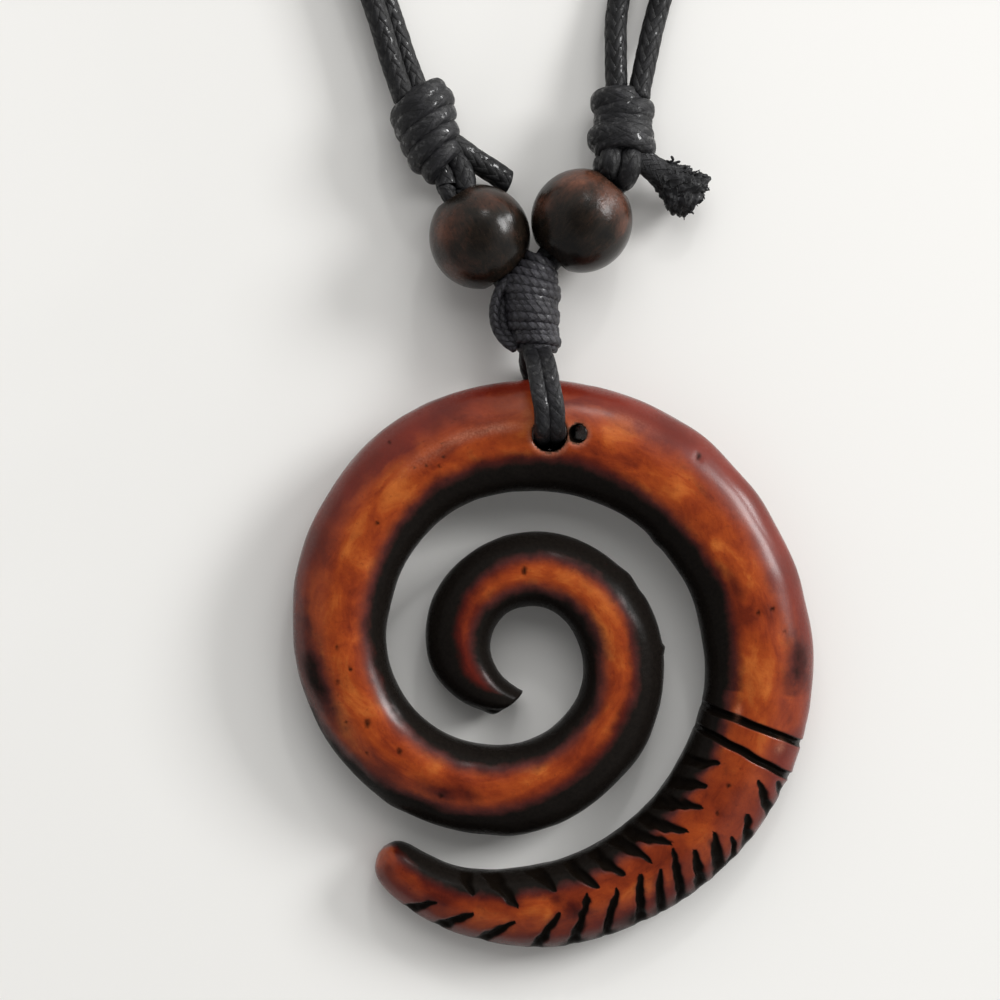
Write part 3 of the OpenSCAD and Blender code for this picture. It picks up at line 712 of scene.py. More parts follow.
def in_place(points):
    """Cord points measured from the middle of the spiral's eye, put in the necklace."""
    return (np.asarray(points, float) + [0, eye_y, 0]) * MM


def through(points, spacing=cord_step):
    """A smooth path through a few points, with steps of about the given length."""
    points = np.asarray(points, float)
    rough = smooth_rows(points, np.linspace(0, len(points) - 1, 40 * len(points)))
    walked = np.concatenate([[0], np.cumsum(np.linalg.norm(np.diff(rough, axis=0), axis=1))])
    count = max(4, int(walked[-1] / spacing))
    wanted = np.linspace(0, walked[-1], count)
    return np.stack([np.interp(wanted, walked, rough[:, k]) for k in range(rough.shape[1])], 1)


def directions(path):
    forward = np.gradient(path, axis=0)
    return forward / np.linalg.norm(forward, axis=1, keepdims=True)


def sides_along(path, hint):
    """A side direction along a path that follows it without twisting."""
    side = np.asarray(hint, float)
    sides = []
    for step in directions(path):
        side = side - step * (side @ step)
        side = side / np.linalg.norm(side)
        sides.append(side)
    return np.array(sides)


def everywhere(way, path):
    return np.tile(way, (len(path), 1))


def braid(turn, walked, yarns, stitch):
    """Relief from 0 to 1 of a round braid where each yarn goes over two and under two."""
    a = turn / (2 * math.pi) * yarns + walked / stitch
    b = turn / (2 * math.pi) * yarns - walked / stitch
    place = np.mod(np.floor(a) + np.floor(b), 4)
    over = place < 2
    across = np.where(over, np.mod(a, 1), np.mod(b, 1))
    run = np.where(over, (place + np.mod(b, 1)) / 2, (place - 2 + np.mod(a, 1)) / 2)
    round_yarn = np.sqrt(np.clip(1 - (2 * across - 1) ** 2, 0, 1))
    return round_yarn * (0.45 + 0.55 * np.sqrt(np.clip(1 - (2 * run - 1) ** 2, 0, 1)))


def cord_skin(path, sides_way, half_side, half_out, sides, yarns, stitch, relief, seed,
              out_way=None, phase=0.0, lumps=0.010, square=2.0, round_end=0.4, shade=0.0,
              shown=1.0):
    """A braided cord's skin, the place of each point in the straight cord, its braid and shade."""
    count = len(path)
    if out_way is None:
        out_way = np.cross(directions(path), sides_way)
    walked = np.concatenate([[0], np.cumsum(np.linalg.norm(np.diff(path, axis=0), axis=1))])
    turn = np.arange(sides) / sides * 2 * math.pi
    high = braid(turn[None, :] + phase, walked[:, None], yarns, stitch)
    half_side = np.broadcast_to(half_side, count)[:, None]
    half_out = np.broadcast_to(half_out, count)[:, None]
    end = np.minimum(walked, walked[-1] - walked)[:, None] / (half_out * round_end)
    drawn_in = np.sqrt(np.clip(1 - (1 - np.clip(end, 0, 1)) ** 2, 0.35, 1))
    size = drawn_in * (1 + relief / half_out * (high - 0.75))
    place = np.stack([walked[:, None] + 0 * turn, half_out * np.cos(turn + phase),
                      half_out * np.sin(turn + phase)], -1)
    size = size * (1 + lumps * wobble(place, 0.9, seed))
    side_share = np.sign(np.cos(turn)) * np.abs(np.cos(turn)) ** (2 / square)
    out_share = np.sign(np.sin(turn)) * np.abs(np.sin(turn)) ** (2 / square)
    skin = (path[:, None, :] + sides_way[:, None, :] * (side_share * half_side * size)[..., None]
            + out_way[:, None, :] * (out_share * half_out * size)[..., None])
    return skin, place, yarns, stitch, shade, shown


def joined(name, skins, material, slot_name, *nodes_replaced):
    """One piece from several cord skins, each with a flat middle at its two ends."""
    points, faces, places = [], [], []
    each = {"yarn_count": [], "stitch_length": [], "cord_shade": [], "braid_shown": []}
    first = 0
    for skin, place, *braid_values in skins:
        rings, sides = skin.shape[:2]
        points += [skin.reshape(-1, 3), skin[0].mean(0)[None], skin[-1].mean(0)[None]]
        faces += [skin_faces(rings, sides, first),
                  fan_faces(first, sides, first + rings * sides, True),
                  fan_faces(first + (rings - 1) * sides, sides, first + rings * sides + 1, False)]
        places += [place.reshape(-1, 3), place[0].mean(0)[None] + [0, 0.02, 0.02],
                   place[-1].mean(0)[None] + [0, 0.02, 0.02]]
        for values, value in zip(each.values(), braid_values):
            values.append(np.full(rings * sides + 2, value))
        first += rings * sides + 2
    piece = mesh_piece(name, in_place(np.concatenate(points)), faces, material)
    keep_places(piece, "cord_place", np.concatenate(places))
    for values_name, values in each.items():
        keep_values(piece, values_name, np.concatenate(values))
    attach(piece, "root")
    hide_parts(*nodes_replaced)
    return piece


# The braid as a height and as fibres that run with each yarn
round_braid, paint, given, result = new_group(
    "round braid", {"Along": 0.0, "Across": 0.0, "Out": 0.0, "Yarns": 8.0, "Stitch": 1.0},
    ("Height", "Fibre"))
sums = paint.math
around = sums("DIVIDE", sums("ARCTAN2", given["Out"], given["Across"]), 2 * math.pi)
turned = sums("MULTIPLY", around, given["Yarns"])
walked = sums("DIVIDE", given["Along"], given["Stitch"])
left_yarn, right_yarn = sums("ADD", turned, walked), sums("SUBTRACT", turned, walked)
left_part, right_part = sums("FRACT", left_yarn), sums("FRACT", right_yarn)
left_whole, right_whole = sums("FLOOR", left_yarn), sums("FLOOR", right_yarn)
cell = sums("FLOORED_MODULO", sums("ADD", left_whole, right_whole), 4.0)
on_top = sums("LESS_THAN", cell, 1.5)
under = sums("SUBTRACT", 1.0, on_top)


def upper_yarn(left, right):
    """The value of whichever yarn lies on top."""
    return sums("ADD", sums("MULTIPLY", on_top, left), sums("MULTIPLY", under, right))


across = upper_yarn(left_part, right_part)
run = upper_yarn(sums("ADD", cell, right_part),
                 sums("ADD", sums("SUBTRACT", cell, 2.0), left_part))
rounding = []
for spot in (across, sums("MULTIPLY", run, 0.5)):
    centred = sums("MULTIPLY_ADD", spot, 2.0, -1.0)
    inside = sums("SUBTRACT", 1.0, sums("MULTIPLY", centred, centred))
    rounding.append(sums("SQRT", sums("MAXIMUM", inside, 0.0)))
yarn_lay = paint.vector(sums("MULTIPLY", across, 3.4), upper_yarn(right_yarn, left_yarn),
                        upper_yarn(left_whole, sums("ADD", right_whole, 37.0)))
paint.feed(result, {
    "Height": sums("MULTIPLY", rounding[0], sums("MULTIPLY_ADD", rounding[1], 0.55, 0.45)),
    "Fibre": paint.noise(yarn_lay, 1.7, 3.0, 0.7)})

cotton, paint = new_material("waxed_black_cotton")
place = paint.place()
parts = paint.parts(paint.attribute("cord_place", "Vector"))
braided = paint.group(round_braid, {
    "Along": parts["X"], "Across": parts["Y"], "Out": parts["Z"],
    "Yarns": paint.attribute("yarn_count"), "Stitch": paint.attribute("stitch_length")})
fibre = braided["Fibre"]
rubbed = paint.noise(place, 420, 3.0, 0.6)
fluff = paint.noise(place, 6500, 2.0, 0.6)
wax = paint.noise(place, 2300, 2.0, 0.6)
# The braid's height also sets the colour: darker in the gaps between the yarns, which is painted shade,
# and lighter on the yarn tops
braid_relief_and_gap_shade = paint.math("MULTIPLY", braided["Height"], paint.attribute("braid_shown"))
level = paint.math("MULTIPLY_ADD", braid_relief_and_gap_shade, 0.36,
                   paint.math("MULTIPLY_ADD", fibre, 0.95, -0.42))
level = paint.math("MULTIPLY_ADD", rubbed, 0.45, level)
level = paint.math("ADD", level, paint.attribute("cord_shade"))
shade = paint.ramp(level, [(0.0, colour(11, 11, 12)), (0.34, colour(24, 24, 26)),
                           (0.62, colour(44, 43, 47)), (0.82, colour(70, 69, 75)),
                           (1.0, colour(104, 102, 108))])
# Glints of wax, fewer where the braid shows
less_braid = paint.math("SUBTRACT", 1.35, paint.attribute("braid_shown"), clamp=True)
rough_height = paint.math("MULTIPLY_ADD", fibre, 0.5, braid_relief_and_gap_shade)
rough_height = paint.math("MULTIPLY_ADD", fluff, 0.35, rough_height)
paint.finish({"Base Color": shade, "Specular IOR Level": 0.3,
              "Roughness": paint.math("MULTIPLY_ADD", fibre, 0.45, 0.28, clamp=True),
              "Coat Weight": paint.math("MULTIPLY", paint.mask(wax, 0.56, 0.66), less_braid),
              "Coat Roughness": 0.16, "Normal": paint.bump(rough_height, 0.8, 0.00012)})

lashing_d = 5.2
lashing_foot_share = 0.76
cords_z = 4
loop_half = 0.65
loop_clear = 0.12
loop_rise = lashing_d * lashing_foot_share / 2 - loop_half
hole_x, hole_y = hole_at
rim_across = 4.48
over = loop_half + loop_clear
loop_points = [
    (hole_x - 1.15, rim_y + 2.9, cords_z + loop_rise * 0.75),
    (hole_x - 0.95, rim_y + 1.9, cords_z + loop_rise),
    (hole_x - 0.66, rim_y + 0.9, rim_z * 0.93 + over * 0.3),
    (hole_x - 0.35, rim_y - rim_across * 0.2, rim_z + over),
    (hole_x - 0.05, hole_y + rim_across * 0.38, rim_z + over * 1.45),
    (hole_x, hole_y + 0.1, rim_z + 0.1),
    (hole_x, hole_y - 0.75, rim_z * 0.55),
    (hole_x, hole_y - 0.72, loop_half + loop_cord_d),
    (hole_x, hole_y + 0.7, 0.78),
    (hole_x - 0.3, hole_y + rim_across * 0.6, 0.75),
    (hole_x - 0.90, rim_y + 0.2, 0.95),
    (hole_x - 1.25, rim_y + 1.3, 2.1),
    (hole_x - 1.20, rim_y + 2.6, 3.2),
]
loop_path = through(loop_points)
loop_side = sides_along(loop_path, (1, 0, 0))
spreading = np.interp(np.linspace(0, 1, len(loop_path)), [0, 0.15, 0.45, 0.6, 1],
                      [0.80, 0.95, 1.06, 1.0, 0.9])
loop_skins = []
for side, seed in ((-1, 21), (1, 22)):
    strand = loop_path + loop_side * (side * loop_gap * spreading)[:, None]
    loop_skins.append(cord_skin(strand, loop_side, loop_cord_d / 2 * 1.05, loop_cord_d / 2 * 0.98,
                                sides=30, yarns=6, stitch=0.95, relief=0.03, seed=seed,
                                phase=side, square=2.5, shade=-0.10, shown=0.5))
joined("pendant_loop_cords", loop_skins, cotton, "black_cord", "pendant_loop")

# The lashing
# A thin waxed cord wound tightly round all the strands above the pendant, from the loop up into the
# wedge between the beads. Its locking strand runs down the left side under the last turns.

# Height above the eye, the left and right edges seen from above, and half the depth
LASHING = [
    (25.15, -1.00, 1.25, 1.45), (25.75, -1.70, 1.80, 1.9), (26.4, -2.20, 1.90, 2.2),
    (27.4, -2.52, 1.74, 2.4), (28.4, -2.62, 1.82, 2.5), (29.3, -2.85, 1.74, 2.6),
    (30.1, -3.38, 1.84, 2.6), (30.9, -2.95, 1.80, 2.5), (31.7, -2.10, 1.76, 2.3),
    (32.35, -1.45, 1.62, 2.0), (33.1, -0.82, 1.20, 1.7),
]
lashing_turns = 13
lashing_low, lashing_high = 25.5, 32.75
wrap_half = 0.45
wrap_out = 0.36
heights = [row[0] for row in LASHING]


def lashing_edge(y, column):
    return np.interp(y, heights, [row[column] for row in LASHING])


wrap_draw = np.random.default_rng(31)
turn_count = np.linspace(0, lashing_turns, 1500)
marks_at = np.arange(0, lashing_turns + 1, 0.5)
climb = lashing_low + (lashing_high - lashing_low) * turn_count / lashing_turns
climb = climb + np.interp(turn_count, marks_at, wrap_draw.uniform(-0.14, 0.14, len(marks_at)))
swing = turn_count * 2 * math.pi
spread = np.interp(turn_count, marks_at, wrap_draw.uniform(-0.14, 0.14, len(marks_at)))
slope = np.interp(climb, [25, 28, 31, 33], [0.02, 0.10, 0.30, 0.35])
middle = (lashing_edge(climb, 1) + lashing_edge(climb, 2)) / 2
reach_x = (lashing_edge(climb, 2) - lashing_edge(climb, 1)) / 2 - wrap_out + spread
reach_z = lashing_edge(climb, 3) - wrap_out + spread
wrap_path = np.stack([middle + reach_x * np.cos(swing),
                      climb - slope * np.cos(swing) + 0.14 * np.sin(swing),
                      cords_z + reach_z * np.sin(swing)], 1)
outward = np.stack([np.cos(swing) * reach_z, 0 * swing, np.sin(swing) * reach_x], 1)
outward /= np.linalg.norm(outward, axis=1, keepdims=True)
lashing_skins = [cord_skin(
    wrap_path, everywhere([0.0, 1.0, 0.0], wrap_path), wrap_half, wrap_out, sides=16, yarns=4,
    stitch=0.62, relief=0.08, seed=33, out_way=outward, lumps=0.07, square=2.3, shade=0.06,
    shown=0.8)]
core_y = np.linspace(25.2, 33.2, 30)
core_path = np.stack([(lashing_edge(core_y, 1) + lashing_edge(core_y, 2)) / 2, core_y,
                      np.full(30, cords_z)], 1)
lashing_skins.append(cord_skin(
    core_path, everywhere([1.0, 0.0, 0.0], core_path),
    (lashing_edge(core_y, 2) - lashing_edge(core_y, 1)) / 2 - 0.5, lashing_edge(core_y, 3) - 0.5,
    sides=24, yarns=6, stitch=1.0, relief=0.02, seed=34,
    out_way=everywhere([0.0, 0.0, 1.0], core_path)))
locking = through([(-1.9, 31.2, 5.5), (-2.75, 30.5, 5.4), (-3.25, 29.5, 5.2), (-3.42, 28.3, 4.9),
                   (-3.2, 27.1, 4.7), (-2.5, 26.1, 4.7), (-1.6, 25.5, 4.6)])
lashing_skins.append(cord_skin(locking, sides_along(locking, (1, 0, 0)), 0.42, 0.45,
                               sides=18, yarns=4, stitch=0.66, relief=0.05, seed=35))
for inward, low in ((0.45, 4.3), (0.85, 4.0)):
    below = through([(-2.2 + inward * 0.4, 30.8, low), (-2.95 + inward * 0.6, 29.6, low),
                     (-3.30 + inward, 28.4, low), (-3.08 + inward, 27.2, low),
                     (-2.4 + inward * 0.8, 26.3, low), (-1.6 + inward * 0.5, 25.8, low)], 0.12)
    lashing_skins.append(cord_skin(below, sides_along(below, (1, 0, 0)), 0.5, 0.8,
                                   sides=16, yarns=4, stitch=0.66, relief=0.05, seed=36))
joined("lashing_wraps", lashing_skins, cotton, "black_cord", "lashing")

# The beads
# Two round beads turned from dark hardwood, drilled through, stained nearly black and polished, with
# red wood showing where the stain is worn.

bead_r = 4.0
bore_r = 1.4
mouth_soft = 0.28
ball_rings, ball_sides = 84, 112
bead_stretch = (1.015, 1.045, 1.0)
BEADS = [("left", (-4.58, 34.50, 4.0), 121, 41), ("right", (3.58, 35.79, 4.0), 50, 42)]

# Where the red wood shows: the way out from the bead's middle, how wide, and how much
WORN = {
    "left": [(-0.72, 0.10, 0.60, 0.50, 0.9), (-0.45, -0.66, 0.50, 0.40, 0.7),
             (0.15, 0.72, 0.55, 0.45, 0.5), (-0.3, 0.1, -0.95, 0.8, 0.7)],
    "right": [(-0.10, 0.80, 0.55, 0.50, 1.0), (0.62, 0.40, 0.62, 0.48, 0.9),
              (0.80, -0.10, 0.50, 0.35, 0.7), (-0.80, 0.30, 0.50, 0.35, 0.6),
              (0.2, -0.3, -0.9, 0.8, 0.7)],
}
# Where the polish is scratched: the way out, how wide, and how much
SCRATCHED = {"left": (0.6, 0.5, 0.6, 0.30, 0.15), "right": (0.46, 0.36, 0.80, 0.42, 1.0)}

wood, paint = new_material("polished_dark_wood")
place = paint.attribute("grain_place", "Vector")
stretch = paint.nodes.new("ShaderNodeMapping")
paint.feed(stretch.inputs, {"Vector": place, "Scale": (1.0, 1.0, 0.22)})
stretched = stretch.outputs[0]
fine_grain = paint.noise(stretched, 3.6, 5.0, 0.65, 0.5)
patch = paint.noise(place, 0.55, 3.0, 0.6, 0.6)
scratches = paint.noise(place, 1.5, 4.0, 0.7, 1.2)
worn = paint.math("ADD", paint.math("MULTIPLY", patch, 0.55),
                  paint.math("MULTIPLY", fine_grain, 0.35))
worn = paint.math("MULTIPLY_ADD", paint.attribute("worn_wood"), 0.42, worn)
timber = paint.ramp(worn, [(0.36, colour(12, 10, 8)), (0.50, colour(28, 22, 17)),
                           (0.66, colour(52, 34, 26)), (0.80, colour(78, 48, 36)),
                           (0.95, colour(104, 64, 47))])
pores = paint.mask(paint.noise(stretched, 10.0, 2.0, 0.5), 0.60, 0.70)
marks = paint.group(scuffs, {"Cloud scale": 260.0, "Scuff scale": 2200.0})
grooving = paint.math("MULTIPLY_ADD", paint.attribute("scratched"), 1.1, 0.05)
scored = paint.math("MULTIPLY", scratches, grooving)
scored = paint.math("MULTIPLY_ADD", fine_grain, 0.25, scored)
scored = paint.math("MULTIPLY_ADD", marks["Height"], 0.12, scored)
paint.finish({
    "Base Color": paint.mix(paint.math("MULTIPLY", pores, 0.6), timber, colour(12, 9, 8)),
    "Roughness": paint.math("MULTIPLY_ADD", marks["Dullness"], 0.5, 0.11),
    "Specular IOR Level": 0.26, "Normal": paint.bump(scored, 0.5, 0.00010)})


def spots_on_ball(ways, spots):
    """How strongly each direction is covered by soft spots on the ball."""
    strength = np.zeros(len(ways))
    for x, y, z, wide, much in spots:
        middle = np.array([x, y, z]) / math.sqrt(x * x + y * y + z * z)
        off = np.linalg.norm(ways - middle, axis=1) / wide
        strength = np.maximum(strength, much * np.exp(-off * off))
    return strength


for name, bead_at, bore_angle, seed in BEADS:
    mouth = math.asin((bore_r + mouth_soft) / bead_r)
    ball = np.linspace(mouth, math.pi - mouth, ball_rings)
    profile = [(bead_r * math.sin(t), bead_r * math.cos(t)) for t in ball]
    low = bead_r * math.cos(mouth)
    round_in = [(bore_r + mouth_soft * (1 - math.sin(t)), low - mouth_soft * (1 - math.cos(t)) * 1.2)
                for t in np.linspace(0.15, math.pi / 2, 7)]
    wall = [(bore_r, z) for z in np.linspace(low - 0.6, -low + 0.6, 24)]
    back = [(r, -z) for r, z in round_in]
    profile = np.array(profile + back + wall[::-1] + round_in[::-1])
    ways = np.arange(ball_sides) / ball_sides * 2 * math.pi
    ball_points = np.stack([profile[:, :1] * np.cos(ways), profile[:, :1] * np.sin(ways),
                            np.repeat(profile[:, 1:], len(ways), 1)], -1)
    worn_shape = 1 + 0.004 * wobble(ball_points, 3.0, seed)
    ball_points = ball_points * worn_shape[..., None]
    a = math.radians(bore_angle)
    bore_way = np.array([math.cos(a), math.sin(a), 0])
    side_way = np.array([-math.sin(a), math.cos(a), 0])
    from_middle = (ball_points[..., 2:] * bore_way + ball_points[..., :1] * side_way
                   + ball_points[..., 1:2] * np.array([0.0, 0.0, 1.0])).reshape(-1, 3)
    from_middle = from_middle * bead_stretch
    bead = mesh_piece("bead_" + name + "_turned", in_place(np.array(bead_at) + from_middle),
                      [skin_faces(len(profile), len(ways), closed=True)[:, ::-1]], wood)
    keep_places(bead, "grain_place",
                ball_points.reshape(-1, 3) + np.array([seed * 3.1, seed * 1.7, 0]))
    facing = from_middle / np.linalg.norm(from_middle, axis=1, keepdims=True)
    keep_values(bead, "worn_wood", spots_on_ball(facing, WORN[name]))
    keep_values(bead, "scratched", spots_on_ball(facing, [SCRATCHED[name]]))
    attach(bead, "root")
    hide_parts("bead_" + name)

# The cords through the beads
# The same two cords on each side: out of the lashing, through a bead and up into its knot.

# Each place is x, y, z, half the distance between the cords and their radius
CORD_RUNS = [
    ("left", [(-1.75, 29.95, 4, 0.42, 0.56), (-2.47, 31.18, 4, 0.52, 0.60),
              (-4.53, 34.61, 4, 0.52, 0.60), (-6.35, 37.75, 4, 0.56, 0.66),
              (-6.42, 38.45, 3.9, 0.72, 0.86), (-6.58, 39.2, 3.7, 0.74, 0.90),
              (-6.90, 40.0, 3.5, 0.70, 0.88), (-7.50, 41.0, 3.3, 0.6, 0.8)]),
    ("right", [(-0.20, 31.30, 4, 0.42, 0.56), (1.05, 32.84, 4, 0.52, 0.60),
               (3.62, 35.90, 4, 0.52, 0.60), (5.98, 38.72, 4, 0.55, 0.64),
               (6.28, 39.14, 4.2, 0.68, 0.82), (6.52, 39.75, 4.5, 0.76, 0.92),
               (6.66, 40.45, 4.6, 0.78, 0.94), (6.76, 41.2, 4.2, 0.72, 0.88),
               (6.88, 42.0, 3.6, 0.5, 0.6)]),
]
for name, stops in CORD_RUNS:
    run = through(stops)
    path, gap, radius = run[:, :3], run[:, 3], run[:, 4]
    level_side = np.cross(np.gradient(path, axis=0), [0.0, 0.0, 1.0])
    level_side /= np.linalg.norm(level_side, axis=1, keepdims=True)
    skins = []
    for side, seed in ((-1, 51), (1, 52)):
        skins.append(cord_skin(path + level_side * (side * gap)[:, None], level_side, radius,
                               radius * 1.05, sides=32, yarns=8, stitch=1.05, relief=0.05,
                               seed=seed, phase=side * 1.3, square=2.3, shade=-0.20, shown=0.6))
    joined("bead_cords_" + name, skins, cotton, "black_cord", "bead_cord_" + name)

# The sliding knots
# Each is a few tight turns of the neck cord round the other strands. The left free end is cut clean
# and the right one is frayed.

knot_fall = math.radians(9)
knot_stitch = 1.15
cord_r = 0.9
wrap_width = 0.90
wrap_depth = 0.74
left_angle, left_length = 113, 7.7
right_angle, right_length = 90, 6.2
end_place = 0.32


def knot_ways(angle):
    a = math.radians(angle)
    flat = np.array([math.cos(a), math.sin(a), 0])
    ahead = flat * math.cos(knot_fall) - np.array([0, 0, math.sin(knot_fall)])
    across = np.array([math.sin(a), -math.cos(a), 0])
    return ahead, across, np.cross(across, ahead)


def knot_wraps(foot, angle, length, turns, rows, lean, first_turn, seed, arch=0.0):
    """Turns of cord round the strands; each row is a turn's place along, outer radius and shift."""
    ahead, across, front = knot_ways(angle)
    rows = np.array(rows, float)
    count = np.linspace(0, turns, int(turns * 90))
    swing = math.radians(first_turn) - count * 2 * math.pi
    draw = np.random.default_rng(seed)
    marks = np.arange(0, turns + 0.5, 0.5)
    uneven = np.interp(count, marks, draw.uniform(-0.07, 0.07, len(marks)))
    along, outer, aside = smooth_rows(rows, count).T
    far = outer - wrap_depth + np.interp(count, marks, draw.uniform(-0.06, 0.06, len(marks)))
    tucked = eased(count, -0.2, 0.25) * eased(turns - count, -0.2, 0.25)
    far = far - (1 - tucked) * 0.7
    along = along + uneven + lean * np.cos(swing)
    along = along + arch * np.clip(np.sin(swing), 0, 1) ** 2 * eased(1.3 - count, 0, 0.8)
    path = (np.array(foot) + ahead * along[:, None]
            + across * (far * np.cos(swing) + aside)[:, None]
            + front * (far * np.sin(swing))[:, None])
    outward = across * np.cos(swing)[:, None] + front * np.sin(swing)[:, None]
    skins = [cord_skin(path, everywhere(ahead, path), wrap_width, wrap_depth, sides=40, yarns=8,
                       stitch=knot_stitch, relief=0.03, seed=seed, out_way=outward, square=2.35,
                       lumps=0.03, shade=-0.10, shown=0.45)]
    inner = np.linspace(0.3, length - 0.3, 24)
    order = np.argsort(rows[:, 0])
    fill = np.interp(inner, rows[order, 0], rows[order, 1]) - wrap_depth * 1.2
    core = (np.array(foot) + ahead * inner[:, None]
            + across * np.interp(inner, rows[order, 0], rows[order, 2])[:, None])
    skins.append(cord_skin(core, everywhere(across, core), fill, fill, sides=24, yarns=8,
                           stitch=1.1, relief=0.02, seed=seed + 1,
                           out_way=everywhere(front, core), shade=-0.16))
    return skins


left_foot = (-7.380, 39.542, 3.4)
left_skins = knot_wraps(left_foot, left_angle, left_length, 4.6,
                        [(0.80, 1.95, 0.05), (2.05, 2.35, 0.0), (3.45, 2.58, 0.12),
                         (4.75, 2.72, 0.32), (5.80, 2.86, 0.42), (6.45, 2.50, 0.40)],
                        lean=0.36, first_turn=200, seed=61)
ahead, across, front = knot_ways(left_angle)
left_start = np.array(left_foot) + ahead * left_length * end_place + across * 1.2
end_path = through([left_start - np.array([0.8, -0.3, 0.1])]
                   + [left_start + np.array(way) for way in (
                       (0.6, -0.4, 0.3), (2.2, -1.5, -0.25), (3.75, -2.45, -0.95),
                       (5.0, -3.30, -1.50))])
end_side = sides_along(end_path, (0.3, 1, 0))
end_skin, *braid_values = cord_skin(
    end_path, end_side, 0.96, 0.84, sides=40, yarns=8, stitch=knot_stitch, relief=0.04, seed=63,
    lumps=0.006, round_end=0.12, shade=-0.42, shown=0.7)
# The knife went across at a slant
slant = np.linspace(0, 1, len(end_path))[:, None] ** 6
aside = ((end_skin - end_path[:, None, :]) * end_side[:, None, :]).sum(-1)
end_skin = end_skin - directions(end_path)[:, None, :] * (0.28 * aside * slant)[..., None]
left_skins.append((end_skin, *braid_values))
joined("knot_left_wraps", left_skins, cotton, "black_cord", "knot_left")

right_foot = (6.877, 40.502, 3.4)
right_skins = knot_wraps(right_foot, right_angle, right_length, 5.4,
                         [(0.95, 2.55, -0.05), (1.75, 2.78, -0.05), (2.55, 2.40, 0.0),
                          (3.15, 2.36, 0.0), (3.80, 2.42, 0.10), (4.75, 2.62, 0.05),
                          (5.4, 2.45, 0.0)],
                         lean=-0.06, first_turn=200, seed=71, arch=0.55)
ahead, across, front = knot_ways(right_angle)
# A flat collar turn under the knot
count = np.linspace(0, 1.15, 110)
swing = math.radians(200) - count * 2 * math.pi
collar_path = (np.array(right_foot) + ahead * (-0.25 + 0.12 * np.cos(swing))[:, None]
               + across * (1.18 * np.cos(swing) - 0.62)[:, None]
               + front * (1.12 * np.sin(swing))[:, None])
outward = across * np.cos(swing)[:, None] + front * np.sin(swing)[:, None]
right_skins.append(cord_skin(
    collar_path, everywhere(ahead, collar_path), 0.84, 0.60, sides=40, yarns=8, stitch=knot_stitch,
    relief=0.03, seed=72, out_way=outward, square=2.5, lumps=0.02, shade=-0.12, shown=0.45))

# The frayed end: a tangled brush with loose fibres all over it
tuft_back, tuft_length = -1.9, 5.1
tuft_turn, tuft_fall = math.radians(-35), math.radians(17)
tuft_shade = -0.3
fibre_count = 460
tuft_start = np.array(right_foot) - ahead * 0.2 + across * 2.05
tuft_way = np.array([math.cos(tuft_turn) * math.cos(tuft_fall),
                     math.sin(tuft_turn) * math.cos(tuft_fall), -math.sin(tuft_fall)])
tuft_side = np.cross(tuft_way, [0.0, 0.0, 1.0])
tuft_side /= np.linalg.norm(tuft_side)
tuft_up = np.cross(tuft_side, tuft_way)
tuft_far = np.linspace(tuft_back, tuft_length, 150)
tuft_path = tuft_start + tuft_way * tuft_far[:, None]
tuft_size = np.interp(tuft_far, [tuft_back, 0, 1.0, 2.0, 3.0, 3.9, 4.6, tuft_length],
                      [0.9, 1.0, 1.05, 1.35, 1.75, 1.95, 1.85, 1.4])
tuft_depth = np.interp(tuft_far, [tuft_back, 0, 1.0, 2.0, 3.9, tuft_length],
                       [0.8, 0.8, 0.8, 0.95, 1.15, 0.95])
tuft_skin, *braid_values = cord_skin(
    tuft_path, everywhere(tuft_side, tuft_path), tuft_size, tuft_depth, sides=84, yarns=14,
    stitch=0.7, relief=0.08, seed=74, out_way=everywhere(tuft_up, tuft_path), square=2.4,
    round_end=0.2, shade=tuft_shade)
loose = eased(tuft_far, 0.2, 2.2)[:, None]
tangle = (0.10 * wobble(tuft_skin, 0.9, 76) + 0.11 * wobble(tuft_skin, 0.42, 77)
          + 0.07 * wobble(tuft_skin, 0.2, 78)) * loose
tuft_skin = tuft_skin + (tuft_skin - tuft_path[:, None, :]) * tangle[..., None]
tuft_skin = tuft_skin + tuft_way * (tangle * 0.9)[..., None]
right_skins.append((tuft_skin, *braid_values))
fibre_draw = np.random.default_rng(75)
for fibre in range(fibre_count):
    turn = fibre_draw.uniform(0, 2 * math.pi)
    out = math.sqrt(fibre_draw.uniform(0.45, 1))
    begin = fibre_draw.uniform(1.2, 5.0)
    heading = (tuft_way * fibre_draw.uniform(0.2, 1.1)
               + (tuft_side * math.cos(turn) + tuft_up * math.sin(turn)) * fibre_draw.uniform(-0.2, 0.3)
               + fibre_draw.normal(0, 0.4, 3))
    heading /= np.linalg.norm(heading)
    curl = fibre_draw.normal(0, 0.9, 3)
    length = fibre_draw.uniform(0.10, 0.28) * (2.2 if fibre % 60 == 0 else 1)
    start = (tuft_start + tuft_way * begin
             + tuft_side * np.interp(begin, tuft_far, tuft_size) * out * math.cos(turn) * 0.97
             + tuft_up * np.interp(begin, tuft_far, tuft_depth) * out * math.sin(turn) * 0.97)
    spots = np.array([start + heading * length * t + curl * length * t * t
                      for t in np.linspace(0, 1, 5)])
    spots[:, 2] = np.maximum(spots[:, 2], 0.1)
    fibre_path = through(spots, 0.16)
    thick = fibre_draw.uniform(0.04, 0.09)
    right_skins.append(cord_skin(fibre_path, sides_along(fibre_path, (0.2, 0.3, 1)), thick, thick,
                                 sides=5, yarns=2, stitch=0.8, relief=0.0, seed=76,
                                 shade=tuft_shade))
